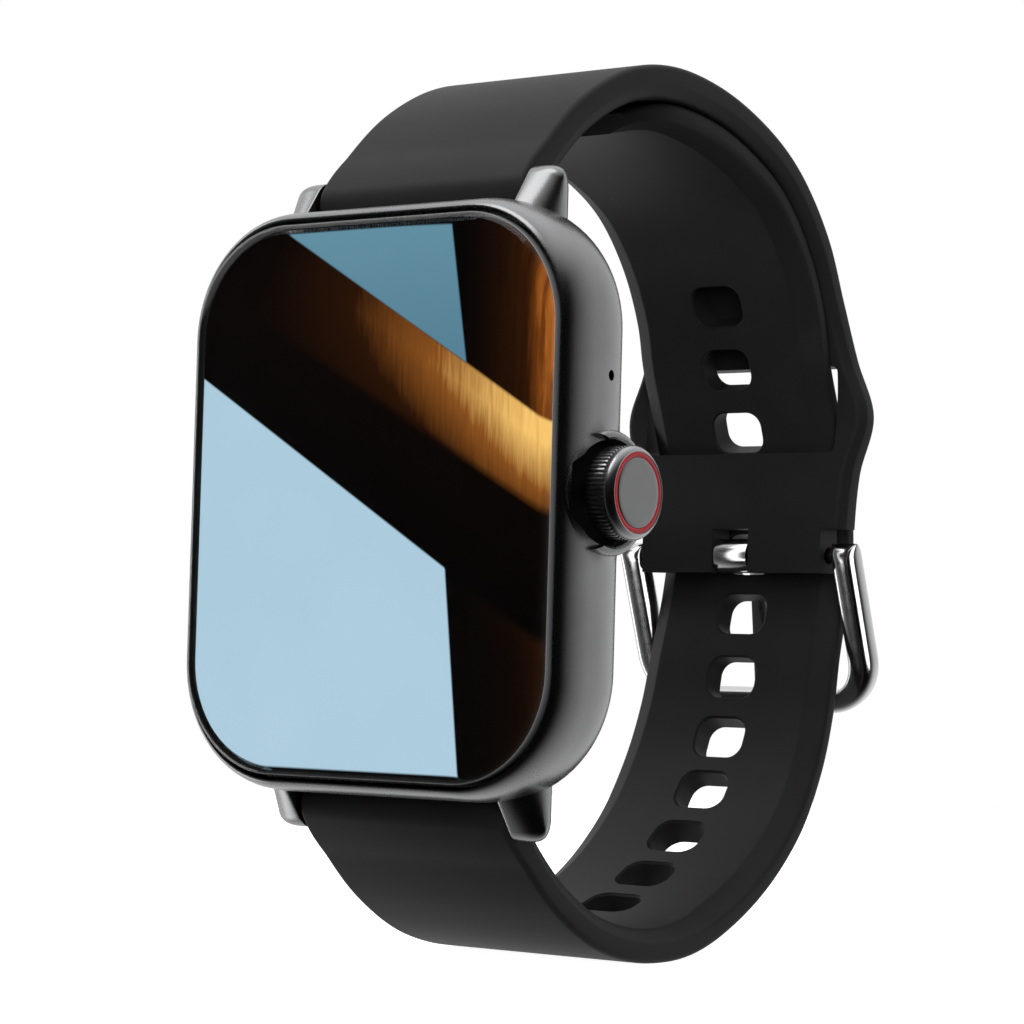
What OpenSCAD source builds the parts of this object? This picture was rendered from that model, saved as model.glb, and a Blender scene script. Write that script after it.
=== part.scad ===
// Rectangular smartwatch on a silicone pin-and-tuck strap, buckled into a loop.
// X points to the crown side, Z to the 12 o'clock side, Y from the face to the wrist.
// Depths (y) are counted from the front of the glass; place() moves the origin
// to the centre of the sensor window's rear face.

/* [Case] */
// Width of the case without the crown
case_w = 36.8; // [36:0.2:38]
// Height of the case without the lugs
case_h = 44.6; // [44:0.2:46]
// Radius of the case corners seen from the front
case_r = 9.4; // [8.6:0.2:10]
// Depth from the glass to the sensor window's rear face
total_d = 11.6; // [11.4:0.1:12.2]
// Depth of the case's front edge below the glass
case_front = 0.8; // [0.7:0.1:0.9]
// Depth of the case's rear face
case_back = 9.4; // [9.2:0.1:9.6]
// Radius of the roll between the case's side and its rear face
back_roll = 3.2; // [2.8:0.2:3.4]

/* [Glass] */
// Width of the cover glass
glass_w = 34.7; // [34.5:0.1:34.9]
// Height of the cover glass
glass_h = 42.0; // [41.6:0.1:42.1]
// Thickness of the cover glass
glass_t = 1.3; // [1.2:0.1:1.4]
// Width of the display panel
panel_w = 33.9; // [33:0.1:34]
// Height of the display panel
panel_h = 40.6; // [40:0.1:40.8]

/* [Crown] */
// Radius of the knurled crown
crown_r = 3.45; // [3.2:0.05:3.5]
// Height of the crown's axis above the middle of the case
crown_z = 0.5; // [0:0.1:1]
// Depth of the crown's axis
crown_y = 5.8; // [5.6:0.1:6]
// Distance of the crown's outer face from the middle of the case
crown_x = 21.2; // [21:0.1:21.6]
// Number of teeth round the crown
crown_teeth = 60; // [40:1:64]
// Travel of the crown when it is pressed
crown_press = 0.4; // [0.3:0.05:0.4]

/* [Lugs] */
// Width of the strap between the lugs
strap_w = 20; // [19.6:0.2:20]
// Thickness of a lug across the strap
lug_t = 2.8; // [2.4:0.1:3]
// Height of the spring bars above and below the middle of the case
bar_z = 23.5; // [23.3:0.1:23.7]
// Depth of the spring bars
bar_y = 7.5; // [7.3:0.1:7.6]

/* [Strap] */
// Thickness of the upper strap near the lugs
strap_t = 2.7; // [2.5:0.1:2.8]
// Thickness of both straps behind the wrist
strap_thin = 2.35; // [2.2:0.05:2.4]
// Half width of the lower strap behind the wrist
tail_hw = 9.4; // [9:0.1:9.5]
// Half width of the upper strap's end section
end_hw = 11.1; // [10.8:0.1:11.2]
// Half width of the upper strap round its slot
slot_hw = 12.3; // [12:0.1:12.6]
// Distance between two strap holes along the strap
hole_pitch = 5.65; // [5.5:0.05:5.8]
// Width of a strap hole
hole_w = 4.8; // [4.6:0.1:5]
// Length of a strap hole along the strap
hole_l = 3.6; // [3.4:0.1:3.8]

/* [Buckle] */
// Depth of the buckle's bar
buckle_y = 52; // [51.9:0.1:52.1]
// Height of the buckle's bar below the middle of the case
buckle_z = -2.1; // [-2.2:0.1:-2]
// Half width of the buckle frame
buckle_hw = 12.2; // [12.2:0.1:12.6]
// Width of a buckle arm
arm_w = 2.5; // [2.3:0.1:2.6]
// Thickness of the buckle frame
buckle_t = 2.2; // [2:0.1:2.3]
// Distance from the buckle's bar to the far edge of the frame
buckle_l = 14.2; // [13.8:0.1:14.6]
// Angle by which the buckle leans away from the wrist
buckle_lean = 20; // [19.5:0.5:21]
// Width of the tang
tang_w = 3.3; // [3:0.1:3.4]

/* [Hidden] */

$fn = 48;
EPS = 0.01;                          // overlap that keeps a cut clean
CAV_W = 33.6;                        // cavity inside the case
CAV_H = 38.8;
CAV_FRONT = 2.6;
CAV_BACK = 8.0;
MOUTH_W = 28;                        // rear opening of the case
MOUTH_H = 35.8;
MOUTH_R = 6.5;
SCREW_X = 11.6;
SCREW_Z = 15.5;
BOSS_R = 1.7;                        // post that takes a rear screw
SPEAKER_R = 0.5;                     // one of the speaker's openings
MIC_R = 0.42;                        // opening for the microphone
MIC_Z = 9.1;
COVER_BACK = 10.6;                   // rear face of the back cover
SENSOR_R = 11;
BAR_R = 0.75;                        // spring bar tube
TIP_R = 0.4;                         // spring bar end
HOLE_R = 0.45;                       // hole that takes a spring bar end
BORE_R = 0.75;                       // bore of the silicone round a tube
SHAFT_R = 0.75;
BUSH_R = 1.3;
BUSH_BORE = 0.78;
CROWN_DEEP = 2.5;                    // depth of the knurled crown along its axis
RIM_DEEP = 0.75;                     // depth of the crown's smooth rim
MOTOR = [0, 5.6, 16.6];              // middle of the vibration motor
LUG_REACH = 9.9;                     // half length of a lug spring bar's body
BUCKLE_REACH = 9.6;                  // half length of the buckle bar's body
LEVER_X = -7.2;                      // release lever of a lug spring bar
LEVER_TRAVEL = 1;
LEVER_TILT = 35;
ARM_NOTCH = buckle_hw - arm_w - 0.5; // where the end section makes room for an arm
WINDOW_FRONT = 10.1;                 // front face of the sensor window
TUCK_GAP = 0.1;                      // gap between the tail and the upper strap
LUG_IN = strap_w / 2 + 0.15;         // inner face of a lug
TIP_ROUND = 1.7;                     // radius of a lug's tip about the spring bar
BARREL_R = 1.75;                     // silicone round a spring bar
FLANK_Y = 4;                         // depth where the case is widest
FACET_X = case_w / 2 - 0.15;         // flat facet in front of the crown

// ---------------------------------------------------------------- helpers

// Moves a child from glass depths to the shared frame.
module place() translate([0, -total_d, 0]) children();

// Corner points of a rounded rectangle, anticlockwise seen from the front.
function rr_pts(hw, hh, r, n = 8) = [
    for (q = [0:3], i = [0:n])
        let (a = 90 * q + 90 * i / n,
             cx = (q == 0 || q == 3 ? 1 : -1) * (hw - r),
             cz = (q < 2 ? 1 : -1) * (hh - r))
        [cx + r * cos(a), cz + r * sin(a)]
];

// Flat plate with rounded corners between two depths.
module slab(w, h, r, y0, y1) {
    translate([0, y1, 0])
        rotate([90, 0, 0])
            linear_extrude(y1 - y0)
                polygon(rr_pts(w / 2, h / 2, r));
}

// Box given by its low corner and its high corner.
module span(a, b) translate(a) cube(b - a);

// Round bar along X between two stations.
module bar_x(r, x0, x1, y = 0, z = 0) {
    translate([x0, y, z])
        rotate([0, 90, 0])
            cylinder(r = r, h = x1 - x0);
}

// Round disc along Y between two depths.
module disc_y(r, y0, y1, x = 0, z = 0) {
    translate([x, y1, z])
        rotate([90, 0, 0])
            cylinder(r = r, h = y1 - y0);
}

// Ring along X: a round bar with a round bore.
module ring_x(ro, ri, x0, x1, y = 0, z = 0) {
    difference() {
        bar_x(ro, x0, x1, y, z);
        bar_x(ri, x0 - 1, x1 + 1, y, z);
    }
}

// Closed skin over rings of 3D points, all with the same number of points.
module skin(rings) {
    n = len(rings[0]);
    m = len(rings);
    pts = [for (r = rings) for (p = r) p];
    sides = [for (j = [0:m - 2], i = [0:n - 1])
        let (k = (i + 1) % n)
        [j * n + i, j * n + k, (j + 1) * n + k, (j + 1) * n + i]];
    front = [for (i = [0:n - 1]) n - 1 - i];
    back = [for (i = [0:n - 1]) (m - 1) * n + i];
    polyhedron(points = pts, faces = concat([front], sides, [back]), convexity = 10);
}

// ------------------------------------------------------------ strap paths

// A station is [y, z, half width, thickness]; stations run from the lug outwards.
UPPER = [
    [bar_y, bar_z, strap_w / 2, strap_t],
    [9.5, 26.2, strap_w / 2, strap_t],
    [14.1, 30.3, strap_w / 2, strap_t],
    [20.1, 33.4, strap_w / 2, strap_t],
    [26.4, 34.5, strap_w / 2, strap_t],
    [33.4, 33.8, strap_w / 2, 2.6],
    [40.1, 31.6, strap_w / 2, 2.5],
    [44.9, 28.7, strap_w / 2, strap_thin],
    [48.9, 24.3, strap_w / 2, strap_thin],
    [51.5, 19.4, strap_w / 2, strap_thin],
    [52.8, 14.7, 10.7, strap_thin],
    [53.0, 10, slot_hw, strap_thin],
    [52.5, 5.2, 11.3, 2.6],
    [52.0, 0.5, end_hw, 2.8],
    [52.0, -3.6, end_hw, 2.8]
];

// Station of the tail where it lies against the inside of the upper strap.
function tucked(i, hw, t) =
    let (d = UPPER[i + 1] - UPPER[i - 1],
         h = [d[0], d[1]] / norm([d[0], d[1]]),
         off = (UPPER[i][3] + t) / 2 + TUCK_GAP)
    [UPPER[i][0] + h[1] * off, UPPER[i][1] - h[0] * off, hw, t];

LOWER = concat([
    [bar_y, -bar_z, strap_w / 2, strap_t],
    [9.4, -26.0, strap_w / 2, strap_t],
    [13.7, -29.8, strap_w / 2, strap_t],
    [19.2, -32.7, strap_w / 2, strap_t],
    [25.8, -33.95, strap_w / 2, strap_t],
    [32.8, -33.3, strap_w / 2, strap_t],
    [40.4, -30.0, strap_w / 2, 2.6],
    [46.1, -25.5, strap_w / 2, 2.5],
    [49.6, -20.6, 9.9, strap_thin],
    [51.7, -15.7, 9.7, strap_thin],
    [52.95, -10.6, 9.5, strap_thin],
    [54.3, -5.6, tail_hw, strap_thin],
    [54.95, -1, tail_hw, strap_thin],
    [54.2, 4, tail_hw, strap_thin],
    [52.5, 9, tail_hw, strap_thin]
],
    [for (i = [10:-1:5]) tucked(i, tail_hw, strap_thin)],
    [tucked(4, 8.9, 2.1), [24, 31.3, 6.4, 1.6]]
);

// Point of a smooth curve through four stations, t from 0 to 1 between b and c.
function blend4(a, b, c, d, t) =
    0.5 * (2 * b + (c - a) * t + (2 * a - 5 * b + 4 * c - d) * t * t
        + (3 * b - a - 3 * c + d) * t * t * t);

// All points of the curve, n steps between two stations.
function curve(st, n) = [
    for (i = [0:len(st) - 2], k = [0:n - 1])
        blend4(st[max(i - 1, 0)], st[i], st[i + 1], st[min(i + 2, len(st) - 1)], k / n),
    st[len(st) - 1]
];

// Direction of the curve at point i, in the YZ plane.
function heading(c, i) =
    let (d = c[min(i + 1, len(c) - 1)] - c[max(i - 1, 0)])
    [d[0], d[1]] / norm([d[0], d[1]]);

// Strap section: x across, n outwards, with a wide bevel on the wrist side.
function strap_section(hw, t, bevel) = [
    [hw, -t * 0.12],
    [hw, t / 2 - 0.45],
    [hw - 0.5, t / 2],
    [-hw + 0.5, t / 2],
    [-hw, t / 2 - 0.45],
    [-hw, -t * 0.12],
    [-hw + bevel, -t / 2],
    [hw - bevel, -t / 2]
];

// Rings of a strap; side is 1 where the outer face is to the left of the heading.
function strap_rings(c, side, bevel) = [
    for (i = [0:len(c) - 1])
        let (h = heading(c, i),
             s = strap_section(c[i][2], c[i][3], bevel),
             k = len(s))
        [for (j = [0:k - 1])
            let (p = side > 0 ? s[j] : s[k - 1 - j])
            [p[0], c[i][0] - h[1] * p[1] * side, c[i][1] + h[0] * p[1] * side]]
];

// Length of the curve up to each of its points.
function lengths(c, i = 0, s = 0) =
    i == len(c) - 1 ? [s]
    : concat([s], lengths(c, i + 1, s + norm([c[i + 1][0] - c[i][0], c[i + 1][1] - c[i][1]])));

// First point of the curve at or past a length.
function index_at(l, s) = len([for (v = l) if (v < s) v]);

UPPER_CURVE = curve(UPPER, 3);
LOWER_CURVE = curve(LOWER, 3);
HOLE_CURVE = curve(LOWER, 12);
HOLE_LENGTHS = lengths(HOLE_CURVE);
TANG_HOLE = 70;                      // length along the lower strap of the hole in use
FIRST_HOLE = TANG_HOLE - 7 * hole_pitch;
HOLES = 12;

// ------------------------------------------------------------------- case

// Outline rings of the case body: [depth, how far it is drawn in].
// The flank bulges from the glass to its widest depth and rolls on to the rear face.
CASE_PROFILE = concat(
    [for (u = [1, 0.92, 0.75, 0.5, 0.25])
        [FLANK_Y - (FLANK_Y - case_front) * u, 0.82 * (1 - sqrt(1 - u * u * 0.99))]],
    [for (u = [0, 0.3, 0.5, 0.65, 0.76, 0.85, 0.91, 0.96, 0.99, 1])
        [FLANK_Y + (case_back - FLANK_Y) * u, back_roll * (1 - pow(1 - pow(u, 2.8), 1 / 2.8))]]
);

// Body of the case without its cavity.
module case_body() {
    skin([for (p = CASE_PROFILE)
        [for (q = rr_pts(case_w / 2 - p[1], case_h / 2 - p[1], case_r - p[1] * 0.6, 7))
            [q[0], p[0], q[1]]]]);
}

// Points of a lug's outline in the YZ plane: slanted front, round tip, straight back.
LUG_OUTLINE = concat(
    [[9.2, 20.2], [3.1, 20.2], [4.4, 22.05]],
    [for (a = [-55:15:90]) [bar_y + TIP_ROUND * sin(a), bar_z + TIP_ROUND * cos(a)]]
);

// Lug with a flat inner face and a rounded outer side; its outer corner drops away.
module lug() {
    middle = 6.9;
    shoulder = 22.3;
    skin([for (t = [0, 0.3, 0.55, 0.75, 0.9, 0.98])
        let (k = sqrt(1 - t * t),
             drop = 0.42 * (1 - sqrt(1 - pow(t, 4))))
        [for (p = LUG_OUTLINE)
            [LUG_IN + lug_t * t,
             middle + (p[0] - middle) * k,
             p[1] - drop * max(0, p[1] - shoulder)]]]);
}

// The lug and its mirror images at the four corners.
module lugs() {
    for (x = [0, 1], z = [0, 1])
        mirror([x, 0, 0])
            mirror([0, 0, z])
                lug();
}

// Raised collar that guards the crown; it stops short of the rear face.
module crown_guard() {
    collar_r = 4.6;
    collar_x = case_w / 2 + 0.8;
    intersection() {
        union() {
            bar_x(collar_r, case_w / 2 - 4, collar_x, crown_y, crown_z);
            translate([case_w / 2 - 1.2, crown_y, crown_z])
                rotate([0, 90, 0])
                    cylinder(r1 = collar_r + 1.8, r2 = collar_r, h = 1.7);
        }
        span([0, 0.9, -20], [30, case_back - 0.1, 20]);
    }
}

// Pocket for the crown, open to the front through a notch with sloping sides.
module crown_notch() {
    floor_x = crown_x - CROWN_DEEP - crown_press - 0.8;
    bar_x(crown_r + 0.45, floor_x, case_w, crown_y, crown_z);
    translate([floor_x, 0, crown_z])
        rotate([90, 0, 90])
            linear_extrude(6)
                polygon([[1.65, -1.95], [5.2, -3.5], [5.2, 3.5], [1.65, 1.95]]);
}

// Flat facet between two creases, from the glass to the crown.
module crown_facet() {
    translate([FACET_X, 0, crown_z])
        rotate([90, 0, 90])
            linear_extrude(3)
                polygon([
                    [-1, 7.5], [1.05, 5.6], [3, 4.55], [5.2, 3.8],
                    [5.2, -3.6], [3, -4.5], [1.05, -5.6], [-1, -7.5]
                ]);
}

module case_frame() color("dimgray") place() {
    difference() {
        union() {
            case_body();
            crown_guard();
            lugs();
        }
        slab(glass_w + 0.3, glass_h + 0.3, 8.75, 0, 1.5);
        slab(panel_w + 0.3, panel_h + 0.3, 8.1, 1, CAV_FRONT + EPS);
        difference() {
            slab(CAV_W, CAV_H, 7.4, CAV_FRONT, CAV_BACK);
            for (x = [-SCREW_X, SCREW_X], z = [-SCREW_Z, SCREW_Z])
                disc_y(BOSS_R, 5, CAV_BACK + 1, x, z);
        }
        difference() {
            slab(MOUTH_W, MOUTH_H, MOUTH_R, CAV_BACK - EPS, case_back + 1);
            for (x = [-SCREW_X, SCREW_X], z = [-SCREW_Z, SCREW_Z])
                disc_y(BOSS_R, 7, case_back, x, z);
        }
        for (x = [-SCREW_X, SCREW_X], z = [-SCREW_Z, SCREW_Z])
            disc_y(0.55, 6, case_back + 1, x, z);
        for (side = [-1, 1]) {
            bar_x(BARREL_R + 0.25, -LUG_IN, LUG_IN, bar_y, side * bar_z);
            bar_x(HOLE_R, LUG_IN - 1, LUG_IN + 1.5, bar_y, side * bar_z);
            bar_x(HOLE_R, -LUG_IN - 1.5, -LUG_IN + 1, bar_y, side * bar_z);
        }
        crown_facet();
        crown_notch();
        bar_x(BUSH_R, CAV_W / 2 - 1, case_w / 2, crown_y, crown_z);
        bar_x(MIC_R, CAV_W / 2 - 1, case_w / 2 + 1, 6.1, MIC_Z);
        for (z = [-6:3:6])
            bar_x(SPEAKER_R, -case_w / 2 - 1, -CAV_W / 2 + 1, 5.4, z);
    }
}

module cover_glass() color([0.05, 0.05, 0.06]) place() {
    skin([for (p = [[0, 0.9], [0.12, 0.35], [0.4, 0.08], [0.8, 0], [glass_t, 0]])
        [for (q = rr_pts(glass_w / 2 - p[1], glass_h / 2 - p[1], 8.6 - p[1], 10))
            [q[0], p[0], q[1]]]]);
}

module glass_gasket() color("black") place() {
    difference() {
        slab(glass_w, glass_h, 8.6, glass_t, 1.5);
        slab(panel_w + 0.3, panel_h + 0.3, 8.1, 1, 2);
    }
}

module display_panel() color([0.35, 0.55, 0.65]) place()
    slab(panel_w, panel_h, 8, glass_t, 2.3);

module display_flex() color("darkgoldenrod") place() {
    span([-4, 2.3, -19.9], [4, 2.5, -18.2]);
    span([-4, 2.5, -18.9], [4, 4.6, -18.7]);
    span([-4, 4.6, -18.9], [4, 4.8, -15.5]);
}

module inner_frame() color("slategray") place() {
    difference() {
        slab(CAV_W - 0.04, CAV_H - 0.04, 7.4, CAV_FRONT + 0.1, CAV_FRONT + 0.7);
        span([-4.6, 0, -20], [4.6, 5, -18.2]);
    }
}

module battery() color("silver") place() {
    translate([-2.5, 0, 6.2])
        slab(20.2, 14.4, 1.2, 3.3, 7.4);
    span([-5, 5, -2.6], [0, 5.2, -1]);
}

module main_board() color("darkgreen") place() {
    difference() {
        span([-14.5, 4.8, -16.3], [14.5, 5.6, -8]);
        for (x = [-SCREW_X, SCREW_X])
            disc_y(2, 4, 7, x, -SCREW_Z);
    }
}

module processor_shield() color("lightgray") place()
    span([-6, 5.6, -15.6], [6, 7, -8.6]);

module speaker() color([0.15, 0.15, 0.15]) place()
    span([-16.6, 3.6, -6.8], [-13.2, 7.4, 6.8]);

module speaker_mesh() color("gray") place()
    span([-16.78, 4.6, -7], [-16.62, 6.2, 7]);

module microphone() color("gold") place()
    span([14.6, 5.6, MIC_Z - 1.7], [16.6, 7.6, MIC_Z + 1.7]);

module vibration_motor() color("lightslategray") place() {
    translate(MOTOR)
        difference() {
            bar_x(1.4, -1.6, 3.4);
            bar_x(0.45, -2, 0.4);
        }
}

module vibration_weight() color("gainsboro") place() {
    translate(MOTOR) {
        bar_x(0.4, -3.2, 0.3);
        difference() {
            bar_x(1.3, -3.2, -1.8);
            span([-4, 0.3, -2], [-1, 2, 2]);
        }
    }
}

// ------------------------------------------------------------- back cover

module back_cover() color([0.12, 0.12, 0.13]) place() {
    half_w = case_w / 2 - back_roll;
    half_h = case_h / 2 - back_roll;
    profile = [[case_back + 0.2, 0.1], [case_back + 0.5, 0], [10.2, 0.25], [COVER_BACK, 1]];
    difference() {
        skin([for (p = profile)
            [for (q = rr_pts(half_w - p[1], half_h - p[1], 6.6 - p[1], 7))
                [q[0], p[0], q[1]]]]);
        disc_y(SENSOR_R + 0.05, WINDOW_FRONT, 12);
        disc_y(SENSOR_R - 1.4, 9, 11);
        for (x = [-SCREW_X, SCREW_X], z = [-SCREW_Z, SCREW_Z]) {
            disc_y(0.75, 9, 12, x, z);
            disc_y(1.2, 10, 12, x, z);
        }
        for (x = [-1.6, 1.6])
            disc_y(0.9, 9, 12, x, -14);
        for (x = [-6, 6])
            disc_y(1.55, 9, 10.2, x, -14);
    }
}

module back_gasket() color("black") place() {
    difference() {
        slab(29.8, 37.6, 6.4, case_back, case_back + 0.2);
        slab(28.4, 36.2, 6.2, case_back - 1, case_back + 1);
        for (x = [-SCREW_X, SCREW_X], z = [-SCREW_Z, SCREW_Z])
            disc_y(0.8, case_back - 1, case_back + 1, x, z);
    }
}

module back_screws() color("silver") place() {
    for (x = [-SCREW_X, SCREW_X], z = [-SCREW_Z, SCREW_Z])
        difference() {
            union() {
                disc_y(0.52, 7.2, 10, x, z);
                disc_y(1.15, 10, 10.45, x, z);
            }
            translate([x, 10.46, z])
                rotate([90, 0, 0])
                    cylinder(r = 0.5, h = 0.3, $fn = 5);
        }
}

module sensor_window() color([0.08, 0.08, 0.1]) place() {
    rim = COVER_BACK - WINDOW_FRONT;
    dome = total_d - COVER_BACK;
    translate([0, WINDOW_FRONT, 0])
        rotate([-90, 0, 0])
            rotate_extrude()
                polygon(concat(
                    [[0, 0], [SENSOR_R, 0]],
                    [for (a = [0:15:90]) [SENSOR_R - 3 + 3 * cos(a), rim + dome * sin(a)]],
                    [[0, rim + dome]]
                ));
}

module sensor_board() color("darkgreen") place()
    disc_y(10.6, 9, 9.6);

module sensor_leds() color("limegreen") place() {
    for (a = [0:120:240])
        translate([3.6 * cos(a + 90), 0, 3.6 * sin(a + 90)])
            span([-0.8, 9.6, -0.8], [0.8, 10, 0.8]);
}

module photodiode() color("midnightblue") place()
    span([-1.3, 9.6, -1.3], [1.3, 10, 1.3]);

module charging_pins() color("gold") place() {
    for (x = [-1.6, 1.6])
        disc_y(0.85, 9.1, COVER_BACK, x, -14);
}

module charging_magnets() color("silver") place() {
    for (x = [-6, 6])
        disc_y(1.5, 8.7, 10.15, x, -14);
}

// ------------------------------------------------------------------ crown

module crown_knob() color([0.45, 0.46, 0.47]) place() {
    pitch = 360 / crown_teeth;
    root_r = crown_r - 0.22;
    rim_x = crown_x - RIM_DEEP;
    tooth = [[0.15, root_r], [0.35, crown_r], [0.65, crown_r], [0.85, root_r]];
    translate([0, crown_y, crown_z])
        difference() {
            union() {
                translate([crown_x - CROWN_DEEP, 0, 0])
                    rotate([90, 0, 90])
                        linear_extrude(CROWN_DEEP - RIM_DEEP)
                            polygon([for (i = [0:crown_teeth - 1], k = tooth)
                                k[1] * [cos((i + k[0]) * pitch), sin((i + k[0]) * pitch)]]);
                translate([rim_x, 0, 0])
                    rotate([0, 90, 0])
                        rotate_extrude()
                            polygon([
                                [0, 0], [crown_r - 0.1, 0], [crown_r, 0.2], [crown_r - 0.1, 0.5],
                                [crown_r - 0.45, RIM_DEEP], [0, RIM_DEEP]
                            ]);
            }
            bar_x(2.97, crown_x - 0.25, crown_x + 1);
            bar_x(SHAFT_R, 0, crown_x - 0.6);
        }
}

module crown_ring() color([0.8, 0.15, 0.2]) place()
    ring_x(2.96, 2.58, crown_x - 0.25, crown_x - 0.02, crown_y, crown_z);

module crown_cap() color([0.66, 0.67, 0.67]) place()
    bar_x(2.56, crown_x - 0.25, crown_x, crown_y, crown_z);

module crown_shaft() color("silver") place() {
    difference() {
        bar_x(SHAFT_R, 12.4, crown_x - 0.6, crown_y, crown_z);
        ring_x(1, 0.55, 16.6, 17.1, crown_y, crown_z);
    }
}

module crown_oring() color("black") place()
    ring_x(0.76, 0.56, 16.65, 17.05, crown_y, crown_z);

module crown_bushing() color("darkgoldenrod") place()
    ring_x(BUSH_R, BUSH_BORE, 15.9, 17.5, crown_y, crown_z);

module crown_code_wheel() color("white") place() {
    translate([14.2, crown_y, crown_z])
        rotate([90, 0, 90])
            linear_extrude(0.4)
                difference() {
                    circle(1.7);
                    circle(SHAFT_R);
                    for (a = [0:45:315])
                        rotate(a)
                            translate([1.45, 0])
                                square([0.6, 0.5], center = true);
                }
}

module crown_switch() color([0.2, 0.2, 0.22]) place() {
    difference() {
        translate([0, crown_y, crown_z])
            span([8.4, -1.4, -1.9], [10.8, 1.4, 1.9]);
        bar_x(0.65, 9.6, 11, crown_y, crown_z);
    }
}

module switch_plunger() color("ivory") place()
    bar_x(0.6, 10.1, 12.35, crown_y, crown_z);

// ----------------------------------------------------------------- straps

// Rounded prism through the lower strap at a length along it.
module strap_hole(s) {
    i = index_at(HOLE_LENGTHS, s);
    h = heading(HOLE_CURVE, i);
    translate([0, HOLE_CURVE[i][0], HOLE_CURVE[i][1]])
        rotate([atan2(h[1], h[0]), 0, 0])
            linear_extrude(5, center = true)
                polygon(rr_pts(hole_w / 2, hole_l / 2, 1.3, 4));
}

// Silicone barrel round a spring bar.
module strap_barrel(side) bar_x(BARREL_R, -strap_w / 2, strap_w / 2, bar_y, side * bar_z);

// Pocket in the silicone for the release lever of a spring bar.
module lever_pocket(side) {
    translate([0, bar_y, side * bar_z])
        rotate([-side * LEVER_TILT, 0, 0])
            span([LEVER_X - 0.8, 0, -0.7], [LEVER_X + LEVER_TRAVEL + 0.8, 5, 0.7]);
}

module upper_strap() color([0.16, 0.16, 0.16]) place() {
    difference() {
        union() {
            skin(strap_rings(UPPER_CURVE, 1, 0.4));
            strap_barrel(1);
        }
        bar_x(BORE_R, -12, 12, bar_y, bar_z);
        lever_pocket(1);
        // slot for the tail
        translate([0, 53, 0])
            span([-tail_hw - 0.4, -5, 6.8], [tail_hw + 0.4, 5, 14.2]);
        // outer channel of the end section, sloping into the slot
        translate([-tail_hw - 0.4, 0, 0])
            rotate([90, 0, 90])
                linear_extrude(2 * tail_hw + 0.8)
                    polygon([
                        [53.3, -6], [53.3, -0.5], [52.8, 3],
                        [51.75, 6.9], [58, 6.9], [58, -6]
                    ]);
        // buckle bar, tang notch and arm notches
        bar_x(BORE_R, -12, 12, buckle_y, buckle_z);
        span([-tang_w / 2 - 0.2, 45, -6], [tang_w / 2 + 0.2, 60, 0.2]);
        for (x = [-ARM_NOTCH - 4, ARM_NOTCH])
            span([x, 45, -6], [x + 4, 60, 0.2]);
    }
}

module lower_strap() color([0.16, 0.16, 0.16]) place() {
    difference() {
        union() {
            skin(strap_rings(LOWER_CURVE, -1, 1.8));
            strap_barrel(-1);
        }
        bar_x(BORE_R, -12, 12, bar_y, -bar_z);
        lever_pocket(-1);
        for (i = [0:HOLES - 1])
            strap_hole(FIRST_HOLE + i * hole_pitch);
    }
}

// ------------------------------------------------------------ spring bars

// Tube with one fixed end; the other end is open for the sliding tip.
module bar_tube(reach, slot = false) {
    difference() {
        ring_x(BAR_R, 0.5, -reach + 1.2, reach - 1.2);
        if (slot)
            span([-reach, 0, -0.4], [LEVER_X + LEVER_TRAVEL + 0.5, 2, 0.4]);
    }
    bar_x(TIP_R, reach - 1.4, reach + 1.1);
    bar_x(0.5, reach - 2.4, reach - 1.2);
}

// Sliding tip with its shoulder inside the tube; a release lever sticks out of a slotted tube.
module bar_tip(reach, lever = false) {
    bar_x(TIP_R, -reach - 1.1, -reach + 2);
    bar_x(0.47, -reach + 2, -reach + 3.4);
    if (lever)
        disc_y(0.33, 0, BARREL_R - 0.1, LEVER_X);
}

// Coil spring between the tip and the fixed end, drawn as stacked rings.
module bar_spring(reach) {
    coils = 8;
    x0 = -reach + 3.5;
    x1 = reach - 2.5;
    step = (x1 - x0 - 0.2) / coils;
    for (i = [0:coils])
        ring_x(0.45, 0.27, x0 + i * step, x0 + i * step + 0.2);
    translate([x0, -0.06, 0.29])
        cube([x1 - x0, 0.12, 0.14]);
}

module at_bar(side) {
    place()
        translate([0, bar_y, side * bar_z])
            rotate([-side * LEVER_TILT, 0, 0])
                children();
}

module at_buckle() place() translate([0, buckle_y, buckle_z]) children();

module upper_bar_tube() color("silver") at_bar(1) bar_tube(LUG_REACH, true);
module upper_bar_tip() color("silver") at_bar(1) bar_tip(LUG_REACH, true);
module upper_bar_spring() color("silver") at_bar(1) bar_spring(LUG_REACH);
module lower_bar_tube() color("silver") at_bar(-1) bar_tube(LUG_REACH, true);
module lower_bar_tip() color("silver") at_bar(-1) bar_tip(LUG_REACH, true);
module lower_bar_spring() color("silver") at_bar(-1) bar_spring(LUG_REACH);
module buckle_bar_tube() color("silver") at_buckle() bar_tube(BUCKLE_REACH);
module buckle_bar_tip() color("silver") at_buckle() bar_tip(BUCKLE_REACH);
module buckle_bar_spring() color("silver") at_buckle() bar_spring(BUCKLE_REACH);

// ----------------------------------------------------------------- buckle

// Half of the frame's outline, from the eye down to the far bar.
module buckle_outline(hw, low, r) {
    n = 6;
    polygon(concat(
        [[-hw, 0]],
        [for (i = [0:n]) [-hw + r - r * cos(90 * i / n), low + r - r * sin(90 * i / n)]],
        [for (i = [0:n]) [hw - r + r * sin(90 * i / n), low + r - r * cos(90 * i / n)]],
        [[hw, 0]]
    ));
}

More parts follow.
